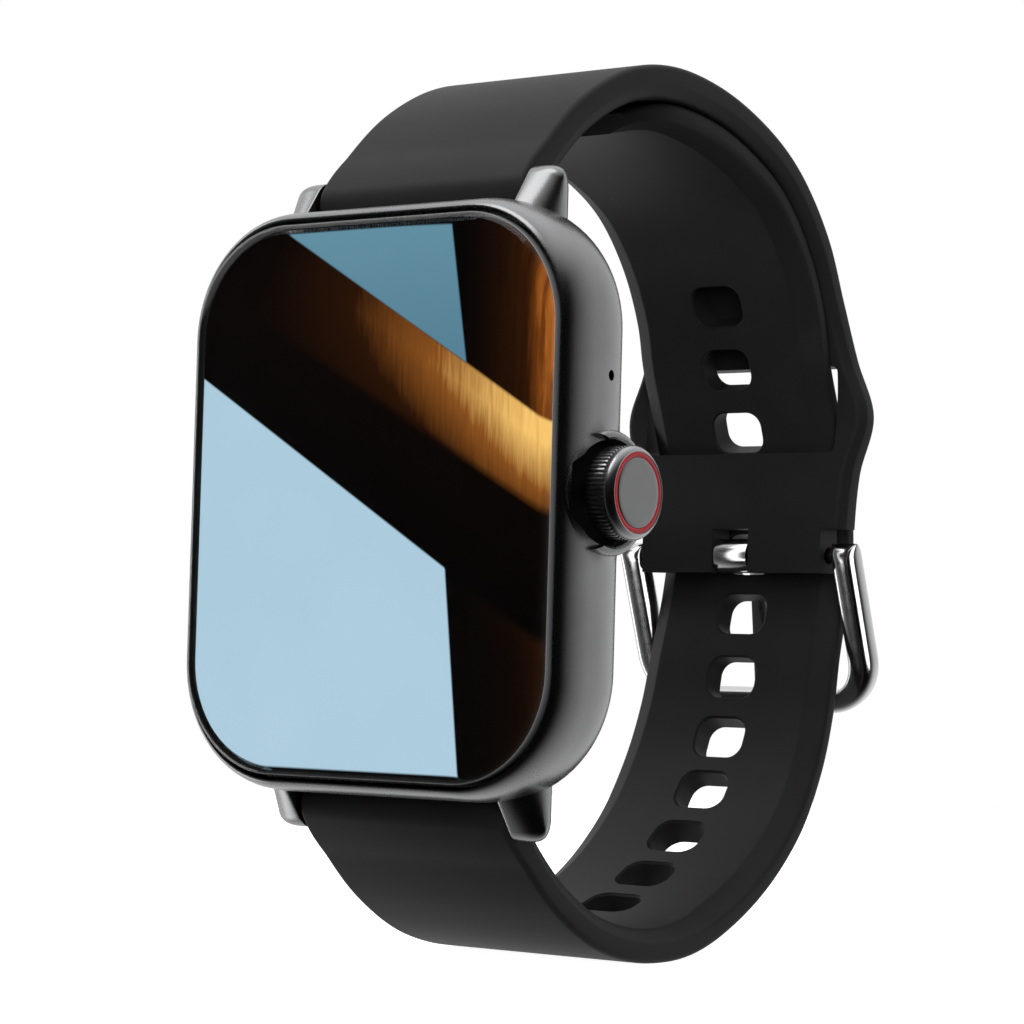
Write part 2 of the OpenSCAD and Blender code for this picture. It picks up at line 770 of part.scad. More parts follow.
module buckle_frame() color("silver") at_buckle() rotate([buckle_lean, 0, 0]) {
    inner_hw = buckle_hw - arm_w;
    difference() {
        union() {
            translate([0, buckle_t / 2, 0])
                rotate([90, 0, 0])
                    linear_extrude(buckle_t)
                        difference() {
                            buckle_outline(buckle_hw, -buckle_l, 5);
                            translate([0, 0.1])
                                buckle_outline(inner_hw, -buckle_l + 1.9, 3);
                        }
            for (x = [inner_hw, -buckle_hw])
                bar_x(buckle_t / 2, x, x + arm_w);
        }
        bar_x(HOLE_R, inner_hw - 1, inner_hw + 1.5);
        bar_x(HOLE_R, -inner_hw - 1.5, -inner_hw + 1);
    }
}

// Tang outline in the YZ plane about the bar: loop, crank and blade.
module buckle_tang() color("silver") at_buckle() {
    loop_r = 1.5;
    translate([-tang_w / 2, 0, 0])
        rotate([90, 0, 90])
            linear_extrude(tang_w)
                difference() {
                    union() {
                        circle(loop_r);
                        polygon([
                            [0, -1.5], [1.2, -1.25], [4.1, -1.0], [4.6, -1.5], [5.95, -12.3],
                            [6.15, -13.9], [6.75, -14], [6.7, -12.3], [5.4, -1.2], [4.8, -0.3],
                            [4.2, -0.2], [1.4, -0.4]
                        ]);
                    }
                    circle(BAR_R + 0.04);
                }
}

// ---------------------------------------------------------------- assembly

case_frame();
cover_glass();
glass_gasket();
display_panel();
display_flex();
inner_frame();
battery();
main_board();
processor_shield();
speaker();
speaker_mesh();
microphone();
vibration_motor();
vibration_weight();
back_cover();
back_gasket();
back_screws();
sensor_window();
sensor_board();
sensor_leds();
photodiode();
charging_pins();
charging_magnets();
crown_knob();
crown_ring();
crown_cap();
crown_shaft();
crown_oring();
crown_bushing();
crown_code_wheel();
crown_switch();
switch_plunger();
upper_strap();
upper_bar_tube();
upper_bar_tip();
upper_bar_spring();
lower_strap();
lower_bar_tube();
lower_bar_tip();
lower_bar_spring();
buckle_frame();
buckle_tang();
buckle_bar_tube();
buckle_bar_tip();
buckle_bar_spring();
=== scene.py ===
"""Looks of a rectangular smartwatch on a buckled silicone strap."""
import math

import bmesh
import bpy
from mathutils import Matrix, Vector


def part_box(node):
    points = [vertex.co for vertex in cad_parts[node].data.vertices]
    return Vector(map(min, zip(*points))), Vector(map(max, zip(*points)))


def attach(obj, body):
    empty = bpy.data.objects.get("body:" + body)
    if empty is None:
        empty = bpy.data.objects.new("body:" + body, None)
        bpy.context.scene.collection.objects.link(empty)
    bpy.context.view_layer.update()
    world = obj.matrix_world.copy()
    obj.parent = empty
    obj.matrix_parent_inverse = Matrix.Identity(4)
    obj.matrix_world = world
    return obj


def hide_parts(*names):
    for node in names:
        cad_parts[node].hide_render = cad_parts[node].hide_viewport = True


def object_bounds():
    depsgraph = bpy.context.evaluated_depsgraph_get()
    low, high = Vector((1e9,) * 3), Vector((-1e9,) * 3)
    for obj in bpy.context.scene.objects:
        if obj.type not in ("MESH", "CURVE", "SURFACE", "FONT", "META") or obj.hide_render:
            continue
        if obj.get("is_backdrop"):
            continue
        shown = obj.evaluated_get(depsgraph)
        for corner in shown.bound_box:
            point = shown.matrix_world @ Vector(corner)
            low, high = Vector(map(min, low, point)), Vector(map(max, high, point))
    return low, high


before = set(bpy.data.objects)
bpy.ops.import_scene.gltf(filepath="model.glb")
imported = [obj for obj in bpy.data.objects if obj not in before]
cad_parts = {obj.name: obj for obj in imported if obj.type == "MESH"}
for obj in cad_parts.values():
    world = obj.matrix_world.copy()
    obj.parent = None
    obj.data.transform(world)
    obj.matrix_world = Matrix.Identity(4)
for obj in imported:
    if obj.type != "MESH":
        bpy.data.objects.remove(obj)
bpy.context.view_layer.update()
scene = bpy.context.scene

MM = 0.001
GLASS_LO, GLASS_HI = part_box("cover_glass")
CASE_LO, CASE_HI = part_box("case_frame")
KNOB_LO, KNOB_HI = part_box("crown_knob")
CAP_LO, CAP_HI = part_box("crown_cap")
RING_LO, RING_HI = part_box("crown_ring")
COVER_LO, COVER_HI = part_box("back_cover")
FRONT = GLASS_LO.y                               # depth 0 is the front of the glass

# Sizes in millimetres, depths y counted from the front of the glass
CASE_HW = -CASE_LO.x / MM                        # half width of the case without the crown
CASE_HH = 22.3
CASE_R = 9.4
CASE_FRONT = (CASE_LO.y - FRONT) / MM
CASE_BACK = (CASE_HI.y - FRONT) / MM
BACK_ROLL = 3.2
GLASS_HW = GLASS_HI.x / MM
GLASS_HH = GLASS_HI.z / MM
GLASS_R = 8.6
CROWN_Y = ((CAP_LO.y + CAP_HI.y) / 2 - FRONT) / MM
CROWN_Z = (CAP_LO.z + CAP_HI.z) / 2 / MM
CROWN_X = CAP_HI.x / MM
CROWN_R = (KNOB_HI.y - KNOB_LO.y) / 2 / MM
CAP_R = (CAP_HI.y - CAP_LO.y) / 2 / MM
RING_R = (RING_HI.y - RING_LO.y) / 2 / MM
TEETH = 60
STRAP_W = 20.0
LUG_IN = STRAP_W / 2 + 0.15
LUG_T = 2.8
BAR_Y, BAR_Z = 7.5, 23.5
BARREL_R = 1.75                                  # silicone round a spring bar
BORE_R = 0.75                                    # bore of the silicone round a bar
TIP_ROUND = 1.7                                  # tip of a lug about the spring bar
FLANK_Y = 4.0                                    # depth where the case is widest
MIC_Y, MIC_Z = 6.1, 9.1                          # opening for the microphone
SPEAKER_Y = 5.4                                  # depth of the row of speaker openings
SCREW_X, SCREW_Z = 11.6, 15.5                    # rear screws
PIN_X, PIN_Z = 1.6, -14                          # charging contacts
BUCKLE_Y, BUCKLE_Z = 52.0, -2.1
BUCKLE_HW, ARM_W, BUCKLE_T, BUCKLE_L = 12.2, 2.5, 2.2, 14.2
BUCKLE_LEAN = math.radians(20)
TANG_W = 3.3
TAIL_HW, END_HW, SLOT_HW = 9.4, 11.1, 12.3


# ------------------------------------------------------------ mesh helpers

def pt(p):
    """A point in millimetres and glass depths as a point of the frame."""
    return Vector((p[0] * MM, p[1] * MM + FRONT, p[2] * MM))


def make(name, verts, faces):
    """A mesh object from points in millimetres."""
    mesh = bpy.data.meshes.new(name)
    mesh.from_pydata([pt(v) for v in verts], [], faces)
    mesh.update()
    piece = bpy.data.objects.new(name, mesh)
    scene.collection.objects.link(piece)
    return piece


def skin(rings, wrap=False):
    """Quads over rings of points, capped at both ends; wrap joins the last ring to the first instead."""
    n = len(rings[0])
    m = len(rings)
    verts = [p for ring in rings for p in ring]
    faces = []
    for j in range(m if wrap else m - 1):
        a, b = j * n, (j + 1) % m * n
        faces += [(a + i, a + (i + 1) % n, b + (i + 1) % n, b + i) for i in range(n)]
    if not wrap:
        faces.append(tuple(range(n - 1, -1, -1)))
        faces.append(tuple((m - 1) * n + i for i in range(n)))
    return verts, faces


def outward(piece):
    """Turns the faces so that they look outwards."""
    bm = bmesh.new()
    bm.from_mesh(piece.data)
    bmesh.ops.remove_doubles(bm, verts=bm.verts, dist=1e-7)
    bmesh.ops.recalc_face_normals(bm, faces=bm.faces)
    bm.to_mesh(piece.data)
    bm.free()
    return piece


def settle(piece):
    """Applies the modifiers of a piece to its mesh."""
    bpy.context.view_layer.update()
    graph = bpy.context.evaluated_depsgraph_get()
    mesh = bpy.data.meshes.new_from_object(piece.evaluated_get(graph))
    piece.modifiers.clear()
    piece.data = mesh
    return piece


def cut(piece, tools, operation="DIFFERENCE"):
    """Cuts the tools out of a piece, or joins them to it, and deletes them."""
    for tool in tools:
        m = piece.modifiers.new("cut", "BOOLEAN")
        m.operation = operation
        m.solver = "EXACT"
        m.object = tool
    settle(piece)
    for tool in tools:
        bpy.data.objects.remove(tool)
    return piece


def smooth(piece, degrees=35):
    """Smooth shading with creases at edges sharper than the angle."""
    mesh = piece.data
    mesh.shade_smooth()
    mesh.set_sharp_from_angle(angle=math.radians(degrees))
    return piece


def bevel(piece, width, segments, degrees):
    """Rounds the edges sharper than the angle; the width is in millimetres."""
    m = piece.modifiers.new("edges", "BEVEL")
    m.width = width * MM
    m.segments = segments
    m.limit_method = "ANGLE"
    m.angle_limit = math.radians(degrees)
    m.harden_normals = False
    return settle(piece)


def rounded(hw, hh, r, right=8, top=8, arc=16):
    """Rounded rectangle in the XZ plane, anticlockwise seen from the front, as (x, z)."""
    out = []
    for i in range(right):
        out.append((hw, -(hh - r) + 2 * (hh - r) * i / right))
    out += [(hw - r + r * math.cos(a), hh - r + r * math.sin(a))
            for a in (math.pi / 2 * i / arc for i in range(arc))]
    for i in range(top):
        out.append(((hw - r) - 2 * (hw - r) * i / top, hh))
    out += [(-hw + r - r * math.sin(a), hh - r + r * math.cos(a))
            for a in (math.pi / 2 * i / arc for i in range(arc))]
    for i in range(top):
        out.append((-hw, (hh - r) - 2 * (hh - r) * i / top))
    out += [(-hw + r - r * math.cos(a), -(hh - r) - r * math.sin(a))
            for a in (math.pi / 2 * i / arc for i in range(arc))]
    for i in range(top):
        out.append((-(hw - r) + 2 * (hw - r) * i / top, -hh))
    out += [(hw - r + r * math.sin(a), -(hh - r) - r * math.cos(a))
            for a in (math.pi / 2 * i / arc for i in range(arc))]
    return out


def circle(r, n):
    """Circle of n points about the origin."""
    return [(r * math.cos(2 * math.pi * i / n), r * math.sin(2 * math.pi * i / n)) for i in range(n)]


def turned_x(profile, y, z, n):
    """Solid of revolution about X at (y, z); the profile is a list of (x, radius)."""
    rings = [[(x, y + a, z + b) for a, b in circle(r, n)] for x, r in profile]
    return skin(rings)


def prism_x(outline, x0, x1):
    """Prism along X over an outline of (y, z) points."""
    return skin([[(x, y, z) for y, z in outline] for x in (x0, x1)])


def fillet(points, radii, n=5):
    """Closed outline whose corners are rounded by the given radii."""
    out = []
    m = len(points)
    for i in range(m):
        p = Vector(points[i])
        a = Vector(points[i - 1]) - p
        b = Vector(points[(i + 1) % m]) - p
        half = a.angle(b) / 2
        r = radii[i]
        if r < 1e-6 or half > math.radians(89):
            out += [tuple(p)] * (n + 1) if r >= 1e-6 else [tuple(p)]
            continue
        d = min(r / math.tan(half), a.length * 0.49, b.length * 0.49)
        r = d * math.tan(half)
        centre = p + (a.normalized() + b.normalized()).normalized() * (r / math.sin(half))
        s = p + a.normalized() * d - centre
        e = p + b.normalized() * d - centre
        turn = s.angle(e)
        sign = 1 if s.x * e.y - s.y * e.x > 0 else -1
        for k in range(n + 1):
            t = turn * k / n * sign
            out.append((centre.x + s.x * math.cos(t) - s.y * math.sin(t),
                        centre.y + s.x * math.sin(t) + s.y * math.cos(t)))
    return out


def joined(name, parts):
    """One mesh out of several lists of vertices and faces."""
    verts, faces = [], []
    for v, f in parts:
        k = len(verts)
        verts += v
        faces += [tuple(i + k for i in face) for face in f]
    return outward(make(name, verts, faces))


# -------------------------------------------------------------- materials

MATERIALS = {}


class Nodes:
    """Short way to build a material's node tree."""

    def __init__(self, name):
        self.material = bpy.data.materials.new(name)
        self.material.use_nodes = True
        self.tree = self.material.node_tree
        self.tree.nodes.clear()
        self.out = self.node("OutputMaterial")
        self.shader = self.node("BsdfPrincipled")
        self.tree.links.new(self.shader.outputs[0], self.out.inputs["Surface"])
        coords = self.node("TexCoord")
        self.mm = self.node("VectorMath", operation="SCALE")
        self.mm.inputs["Scale"].default_value = 1 / MM
        self.link(coords.outputs["Object"], self.mm.inputs[0])
        self.place = self.mm.outputs[0]

    def node(self, kind, **settings):
        n = self.tree.nodes.new("ShaderNode" + kind)
        for key, value in settings.items():
            setattr(n, key, value)
        return n

    def link(self, a, b):
        self.tree.links.new(a, b)

    def noise(self, scale, detail=2.0, stretch=None, rough=0.5):
        n = self.node("TexNoise")
        n.inputs["Scale"].default_value = scale
        n.inputs["Detail"].default_value = detail
        n.inputs["Roughness"].default_value = rough
        place = self.place
        if stretch:
            m = self.node("Mapping")
            m.inputs["Scale"].default_value = stretch
            self.link(place, m.inputs["Vector"])
            place = m.outputs[0]
        self.link(place, n.inputs["Vector"])
        return n.outputs["Fac"]

    def ramp(self, fac, stops):
        n = self.node("ValToRGB")
        e = n.color_ramp.elements
        while len(e) < len(stops):
            e.new(0.5)
        for item, (at, colour) in zip(e, stops):
            item.position = at
            item.color = (*colour, 1)
        self.link(fac, n.inputs[0])
        return n.outputs[0]

    def span(self, fac, low, high, a=0.0, b=1.0):
        n = self.node("MapRange")
        for key, value in (("From Min", a), ("From Max", b), ("To Min", low), ("To Max", high)):
            n.inputs[key].default_value = value
        self.link(fac, n.inputs["Value"])
        return n.outputs["Result"]

    def math(self, operation, a, b=None):
        n = self.node("Math", operation=operation)
        for socket, value in zip(n.inputs, (a, b)):
            if value is None:
                continue
            if isinstance(value, (int, float)):
                socket.default_value = value
            else:
                self.link(value, socket)
        return n.outputs[0]

    def mix(self, fac, a, b):
        n = self.node("Mix", data_type="RGBA")
        for socket, value in zip((n.inputs["Factor"], n.inputs[6], n.inputs[7]), (fac, a, b)):
            if isinstance(value, tuple):
                socket.default_value = (*value, 1)
            elif isinstance(value, (int, float)):
                socket.default_value = value
            else:
                self.link(value, socket)
        return n.outputs[2]

    def bump(self, height, distance):
        n = self.node("Bump")
        n.inputs["Strength"].default_value = 1.0
        n.inputs["Distance"].default_value = distance * MM
        self.link(height, n.inputs["Height"])
        return n.outputs[0]

    def set(self, **values):
        for key, value in values.items():
            socket = self.shader.inputs[key.replace("_", " ")]
            if isinstance(value, bpy.types.NodeSocket):
                self.link(value, socket)
            elif isinstance(value, tuple) and len(value) == 3 and socket.type == "RGBA":
                socket.default_value = (*value, 1)
            else:
                socket.default_value = value


def tint(colour, k):
    """A colour made lighter or darker."""
    return tuple(min(1.0, c * k) for c in colour)


def surface(name, colour, rough, metal=0.0, vary=0.08, grain=6.0, depth=0.01, spread=0.06,
            stretch=None, patch=0.25, **extra):
    """Procedural finish: a slow drift of colour and fine grain in roughness and relief.

    Scales are per millimetre.
    """
    n = Nodes(name)
    drift = n.noise(patch, 3.0)
    fine = n.noise(grain, 3.0, stretch)
    n.set(Base_Color=n.ramp(drift, [(0.3, tint(colour, 1 - vary)), (0.7, tint(colour, 1 + vary))]),
          Metallic=metal,
          Roughness=n.span(fine, max(0.02, rough - spread), rough + spread, 0.25, 0.75),
          Normal=n.bump(fine, depth), **extra)
    MATERIALS[name] = n.material


def case_metal_material():
    """Satin anodised metal; inside the pocket behind the crown the colour is painted near black, dull and
    not metallic, as painted shade.
    """
    n = Nodes("case_metal")
    parts = n.node("SeparateXYZ")
    n.link(n.place, parts.inputs[0])
    x, z = parts.outputs["X"], n.math("SUBTRACT", parts.outputs["Z"], CROWN_Z)
    y = n.math("SUBTRACT", parts.outputs["Y"], FRONT / MM)
    dy = n.math("SUBTRACT", y, CROWN_Y)
    far = n.math("SQRT", n.math("ADD", n.math("MULTIPLY", dy, dy), n.math("MULTIPLY", z, z)))
    # painted shade: masks of the crown's pocket, where the metal is painted near black
    round_part = n.span(far, 1.0, 0.0, 4.42, 4.47)
    mouth = n.math("MULTIPLY", n.span(n.math("ABSOLUTE", z), 1.0, 0.0, 3.6, 3.7),
                   n.span(y, 1.0, 0.0, 5.2, 5.3))
    pocket_shade = n.math("MAXIMUM", round_part, mouth)
    pocket_shade = n.math("MULTIPLY", pocket_shade, n.span(x, 1.0, 0.0, CASE_HW - 0.36, CASE_HW - 0.32))
    pocket_shade = n.math("MULTIPLY", pocket_shade, n.span(y, 0.0, 1.0, 1.6, 1.64))
    pocket_shade = n.math("MULTIPLY", pocket_shade, n.span(x, 0.0, 1.0, 15.0, 15.2))
    drift, fine = n.noise(0.25, 3.0), n.noise(14.0, 3.0)
    metal = n.ramp(drift, [(0.3, (0.352, 0.353, 0.359)), (0.7, (0.388, 0.391, 0.397))])
    n.set(Base_Color=n.mix(pocket_shade, metal, (0.004, 0.004, 0.004)), Metallic=n.math("SUBTRACT", 1.0, pocket_shade),
          Roughness=n.math("ADD", n.span(fine, 0.23, 0.31, 0.25, 0.75), n.math("MULTIPLY", pocket_shade, 0.3)),
          Specular_IOR_Level=0.1, Normal=n.bump(fine, 0.0012))
    MATERIALS["case_metal"] = n.material


case_metal_material()
surface("silicone", (0.0200, 0.0200, 0.0205), 0.52, 0.0, 0.08, 9.0, 0.006, 0.05, Specular_IOR_Level=0.22)
surface("buckle_steel", (0.78, 0.78, 0.79), 0.16, 1.0, 0.03, 2.0, 0.0012, 0.03, (0.25, 1, 1))
surface("bar_steel", (0.60, 0.60, 0.61), 0.28, 1.0, 0.05, 12.0, 0.003, 0.08, (0.1, 1, 1))
surface("crown_metal", (0.52, 0.52, 0.53), 0.30, 1.0, 0.05, 14.0, 0.003, 0.05)
surface("cap_metal", (0.40, 0.405, 0.405), 0.42, 1.0, 0.03, 16.0, 0.003, 0.05)
surface("red_enamel", (0.55, 0.012, 0.022), 0.3, 0.0, 0.06, 8.0, 0.002, 0.04, Coat_Weight=0.1)
surface("back_plastic", (0.020, 0.020, 0.022), 0.28, 0.0, 0.08, 10.0, 0.002, 0.05, Coat_Weight=0.3)
surface("sensor_glass", (0.008, 0.008, 0.010), 0.06, 0.0, 0.2, 5.0, 0.0004, 0.02, Coat_Weight=0.8)
surface("seal_rubber", (0.010, 0.010, 0.010), 0.62, 0.0, 0.1, 9.0, 0.006)
surface("flex_film", (0.48, 0.24, 0.05), 0.35, 0.0, 0.12, 4.0, 0.002, stretch=(0.2, 1, 1))
surface("inner_plastic", (0.05, 0.05, 0.055), 0.5, 0.0, 0.1, 8.0, 0.006)
surface("battery_foil", (0.70, 0.70, 0.72), 0.32, 1.0, 0.06, 1.2, 0.02, 0.08)
surface("circuit_board", (0.012, 0.13, 0.05), 0.35, 0.0, 0.3, 2.5, 0.006, 0.08)
surface("tin_plate", (0.62, 0.62, 0.60), 0.30, 1.0, 0.06, 3.0, 0.004, 0.1)
surface("led_plastic", (0.25, 0.75, 0.30), 0.2, 0.0, 0.1, 3.0, 0.001)
surface("diode_glass", (0.02, 0.02, 0.10), 0.1, 0.0, 0.15, 3.0, 0.001)
surface("gold_contact", (0.83, 0.60, 0.20), 0.22, 1.0, 0.06, 8.0, 0.002)
surface("bushing_brass", (0.70, 0.50, 0.20), 0.28, 1.0, 0.06, 10.0, 0.003, 0.08, (0.1, 1, 1))
surface("code_plastic", (0.80, 0.79, 0.74), 0.45, 0.0, 0.05, 6.0, 0.004)


def rim_distance(n, x, z, hw, hh, r):
    """Distance from a rounded rectangle in millimetres, negative inside it."""
    ax = n.math("SUBTRACT", n.math("ABSOLUTE", x), hw - r)
    az = n.math("SUBTRACT", n.math("ABSOLUTE", z), hh - r)
    px, pz = n.math("MAXIMUM", ax, 0.0), n.math("MAXIMUM", az, 0.0)
    far = n.math("SQRT", n.math("ADD", n.math("MULTIPLY", px, px), n.math("MULTIPLY", pz, pz)))
    inner = n.math("MINIMUM", n.math("MAXIMUM", ax, az), 0.0)
    return n.math("SUBTRACT", n.math("ADD", far, inner), r)


def glass_material():
    """Clear glass with a ground edge."""
    n = Nodes("cover_glass")
    parts = n.node("SeparateXYZ")
    n.link(n.place, parts.inputs[0])
    smudge = n.noise(0.12, 3.0)
    rim = n.span(rim_distance(n, parts.outputs["X"], parts.outputs["Z"], GLASS_HW, GLASS_HH, GLASS_R),
                 0.0, 1.0, -0.10, -0.06)
    low = n.span(parts.outputs["Y"], 0.0, 1.0, FRONT / MM + 0.34, FRONT / MM + 0.42)
    ground = n.math("MULTIPLY", rim, low)
    clear = n.ramp(smudge, [(0.35, (0.97, 0.98, 0.98)), (0.65, (1.0, 1.0, 1.0))])
    n.set(Base_Color=n.mix(ground, clear, (0.16, 0.165, 0.17)),
          Roughness=n.math("MULTIPLY", ground, 0.4),
          Transmission_Weight=n.math("SUBTRACT", 1.0, ground), IOR=1.36)
    MATERIALS["cover_glass"] = n.material


def half_plane(n, x, z, a, b, soft):
    """1 on the left of the line from a to b, 0 on its right, in millimetres of the screen."""
    d = Vector((b[0] - a[0], b[1] - a[1])).normalized()
    nx, nz = -d.y, d.x
    off = -(nx * a[0] + nz * a[1])
    s = n.math("ADD", n.math("MULTIPLY", x, nx), n.math("MULTIPLY", z, nz))
    return n.span(n.math("ADD", s, off), 0.0, 1.0, -soft, soft)


def region(n, x, z, corners, soft=0.06):
    """Convex region with its corners anticlockwise."""
    fac = None
    for a, b in zip(corners, corners[1:] + corners[:1]):
        side = half_plane(n, x, z, a, b, soft)
        fac = side if fac is None else n.math("MULTIPLY", fac, side)
    return fac


def screen_material():
    """Lit display with an abstract wallpaper: sky panes between warm timber beams."""
    n = Nodes("screen")
    parts = n.node("SeparateXYZ")
    n.link(n.place, parts.inputs[0])
    x, z = parts.outputs["X"], parts.outputs["Z"]
    # timber: a dark ground with long grain, warmer to the right
    grain = n.noise(0.9, 4.0, (2.2, 1, 0.16), 0.6)
    warm = n.span(x, 0.0, 1.0, 8.0, 19.5)
    upper = n.span(z, 0.12, 1.0, -12.0, 14.0)
    strip = n.span(x, 0.0, 0.42, 14.4, 16.0)
    glow = n.math("MULTIPLY", n.math("ADD", n.math("MULTIPLY", warm, warm), strip), upper)
    timber = n.ramp(n.math("MULTIPLY", glow, n.span(grain, 0.6, 1.2, 0.3, 0.7)),
                    [(0.0, (0.0012, 0.0008, 0.0006)), (0.25, (0.028, 0.008, 0.0016)),
                     (0.6, (0.17, 0.045, 0.006)), (1.0, (0.55, 0.17, 0.025))])
    colour = timber
    # diagonal beam, brightest towards its lower end
    across = n.math("ADD", n.math("MULTIPLY", x, 0.51), n.math("MULTIPLY", z, 0.86))
    along = n.math("SUBTRACT", n.math("MULTIPLY", x, 0.86), n.math("MULTIPLY", z, 0.51))
    streak = n.noise(4.0, 2.0, (1.0, 1, 0.07), 0.5)
    lit = n.math("MULTIPLY", n.span(along, 0.0, 1.0, -18.0, 10.5), n.span(streak, 0.92, 1.06, 0.3, 0.7))
    lit = n.math("MULTIPLY", lit, n.span(across, 0.10, 1.0, 4.5, 11.5))
    beam = n.ramp(lit, [(0.0, (0.002, 0.0007, 0.0003)), (0.3, (0.022, 0.006, 0.0012)),
                        (0.62, (0.26, 0.085, 0.014)), (1.0, (1.0, 0.60, 0.17))])
    mask = region(n, x, z, [(-18, 14.2), (18, -5.0), (18, 4.4), (-8.9, 20.6), (-18, 21.5)], 0.12)
    colour = n.mix(mask, colour, beam)
    # dark diagonal beam
    shade = n.ramp(n.span(across, 0.0, 1.0, -3.0, 6.0),
                   [(0.0, (0.0004, 0.0003, 0.0003)), (1.0, (0.0022, 0.0010, 0.0006))])
    mask = region(n, x, z, [(-18.5, 9.6), (18, -11.5), (18, -2.0), (-18.5, 17.8)], 0.35)
    colour = n.mix(mask, colour, shade)
    # sky panes
    haze = n.noise(0.09, 2.0)
    high = n.ramp(n.math("ADD", n.span(z, 0.0, 0.8, 8.0, 21.0), n.math("MULTIPLY", haze, 0.2)),
                  [(0.0, (0.085, 0.205, 0.29)), (1.0, (0.14, 0.305, 0.40))])
    mask = region(n, x, z, [(-9.1, 20.6), (8.95, 9.9), (7.25, 20.15)], 0.08)
    colour = n.mix(mask, colour, high)
    low = n.ramp(n.math("ADD", n.span(z, 0.0, 0.8, -20.0, 9.0), n.math("MULTIPLY", haze, 0.2)),
                 [(0.0, (0.455, 0.650, 0.785)), (1.0, (0.440, 0.640, 0.775))])
    mask = region(n, x, z, [(-18.5, 10.45), (-18.5, -22.0), (9.2, -20.3), (7.5, -5.2)], 0.08)
    colour = n.mix(mask, colour, low)
    # printed border
    hw, hh, r = 16.95, 20.25, 7.9
    edge = rim_distance(n, x, z, hw, hh, r)
    shown = n.span(edge, 1.0, 0.0, -0.05, 0.05)
    colour = n.mix(shown, (0.0006, 0.0006, 0.0008), colour)
    n.set(Base_Color=(0.002, 0.002, 0.002), Roughness=0.35, Specular_IOR_Level=0.0,
          Emission_Color=colour, Emission_Strength=1.0)
    MATERIALS["screen"] = n.material


glass_material()
screen_material()


def dress(piece, name, body="watch", replaces=()):
    """Gives a piece its finish, its body and the CAD nodes that it stands for."""
    piece.data.materials.clear()
    piece.data.materials.append(MATERIALS[name])
    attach(piece, body)
    if replaces:
        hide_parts(*replaces)
    return piece


KEPT = {
    "glass_gasket": "seal_rubber", "display_flex": "flex_film", "inner_frame": "inner_plastic",
    "battery": "battery_foil", "main_board": "circuit_board", "processor_shield": "tin_plate",
    "speaker": "inner_plastic", "speaker_mesh": "tin_plate", "microphone": "gold_contact",
    "vibration_motor": "tin_plate", "vibration_weight": "bar_steel", "back_gasket": "seal_rubber",
    "back_screws": "bar_steel", "sensor_window": "sensor_glass", "sensor_board": "circuit_board",
    "sensor_leds": "led_plastic", "photodiode": "diode_glass", "charging_pins": "gold_contact",
    "charging_magnets": "tin_plate", "crown_shaft": "bar_steel", "crown_oring": "seal_rubber",
    "crown_bushing": "bushing_brass", "crown_code_wheel": "code_plastic",
    "crown_switch": "inner_plastic", "switch_plunger": "code_plastic",
    "upper_bar_tube": "bar_steel", "upper_bar_tip": "bar_steel", "upper_bar_spring": "bar_steel",
    "lower_bar_tube": "bar_steel", "lower_bar_tip": "bar_steel", "lower_bar_spring": "bar_steel",
    "buckle_bar_tube": "bar_steel", "buckle_bar_tip": "bar_steel", "buckle_bar_spring": "bar_steel",
}
for node, finish in KEPT.items():
    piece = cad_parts[node]
    piece.data.materials.clear()
    piece.data.materials.append(MATERIALS[finish])


# ------------------------------------------------------------------- case

def case_ring(ix, iz, y, r):
    """Outline of the case at depth y, drawn in by ix and iz, with corners of radius r."""
    return [(x, y, z) for x, z in rounded(CASE_HW - ix, CASE_HH - iz, r, 110, 24, 20)]


def swell(p):
    """Draws the side of the case out towards the collar round the crown."""
    x, y, z = p
    if x < 8:
        return p
    far = math.hypot(y - CROWN_Y, z - CROWN_Z)
    t = max(0.0, min(1.0, (far - 4.4) / 1.1))
    front = max(0.0, min(1.0, (y - 3.6) / 1.6))
    return (x + 0.25 * (1 - t) ** 2 * front, y, z)


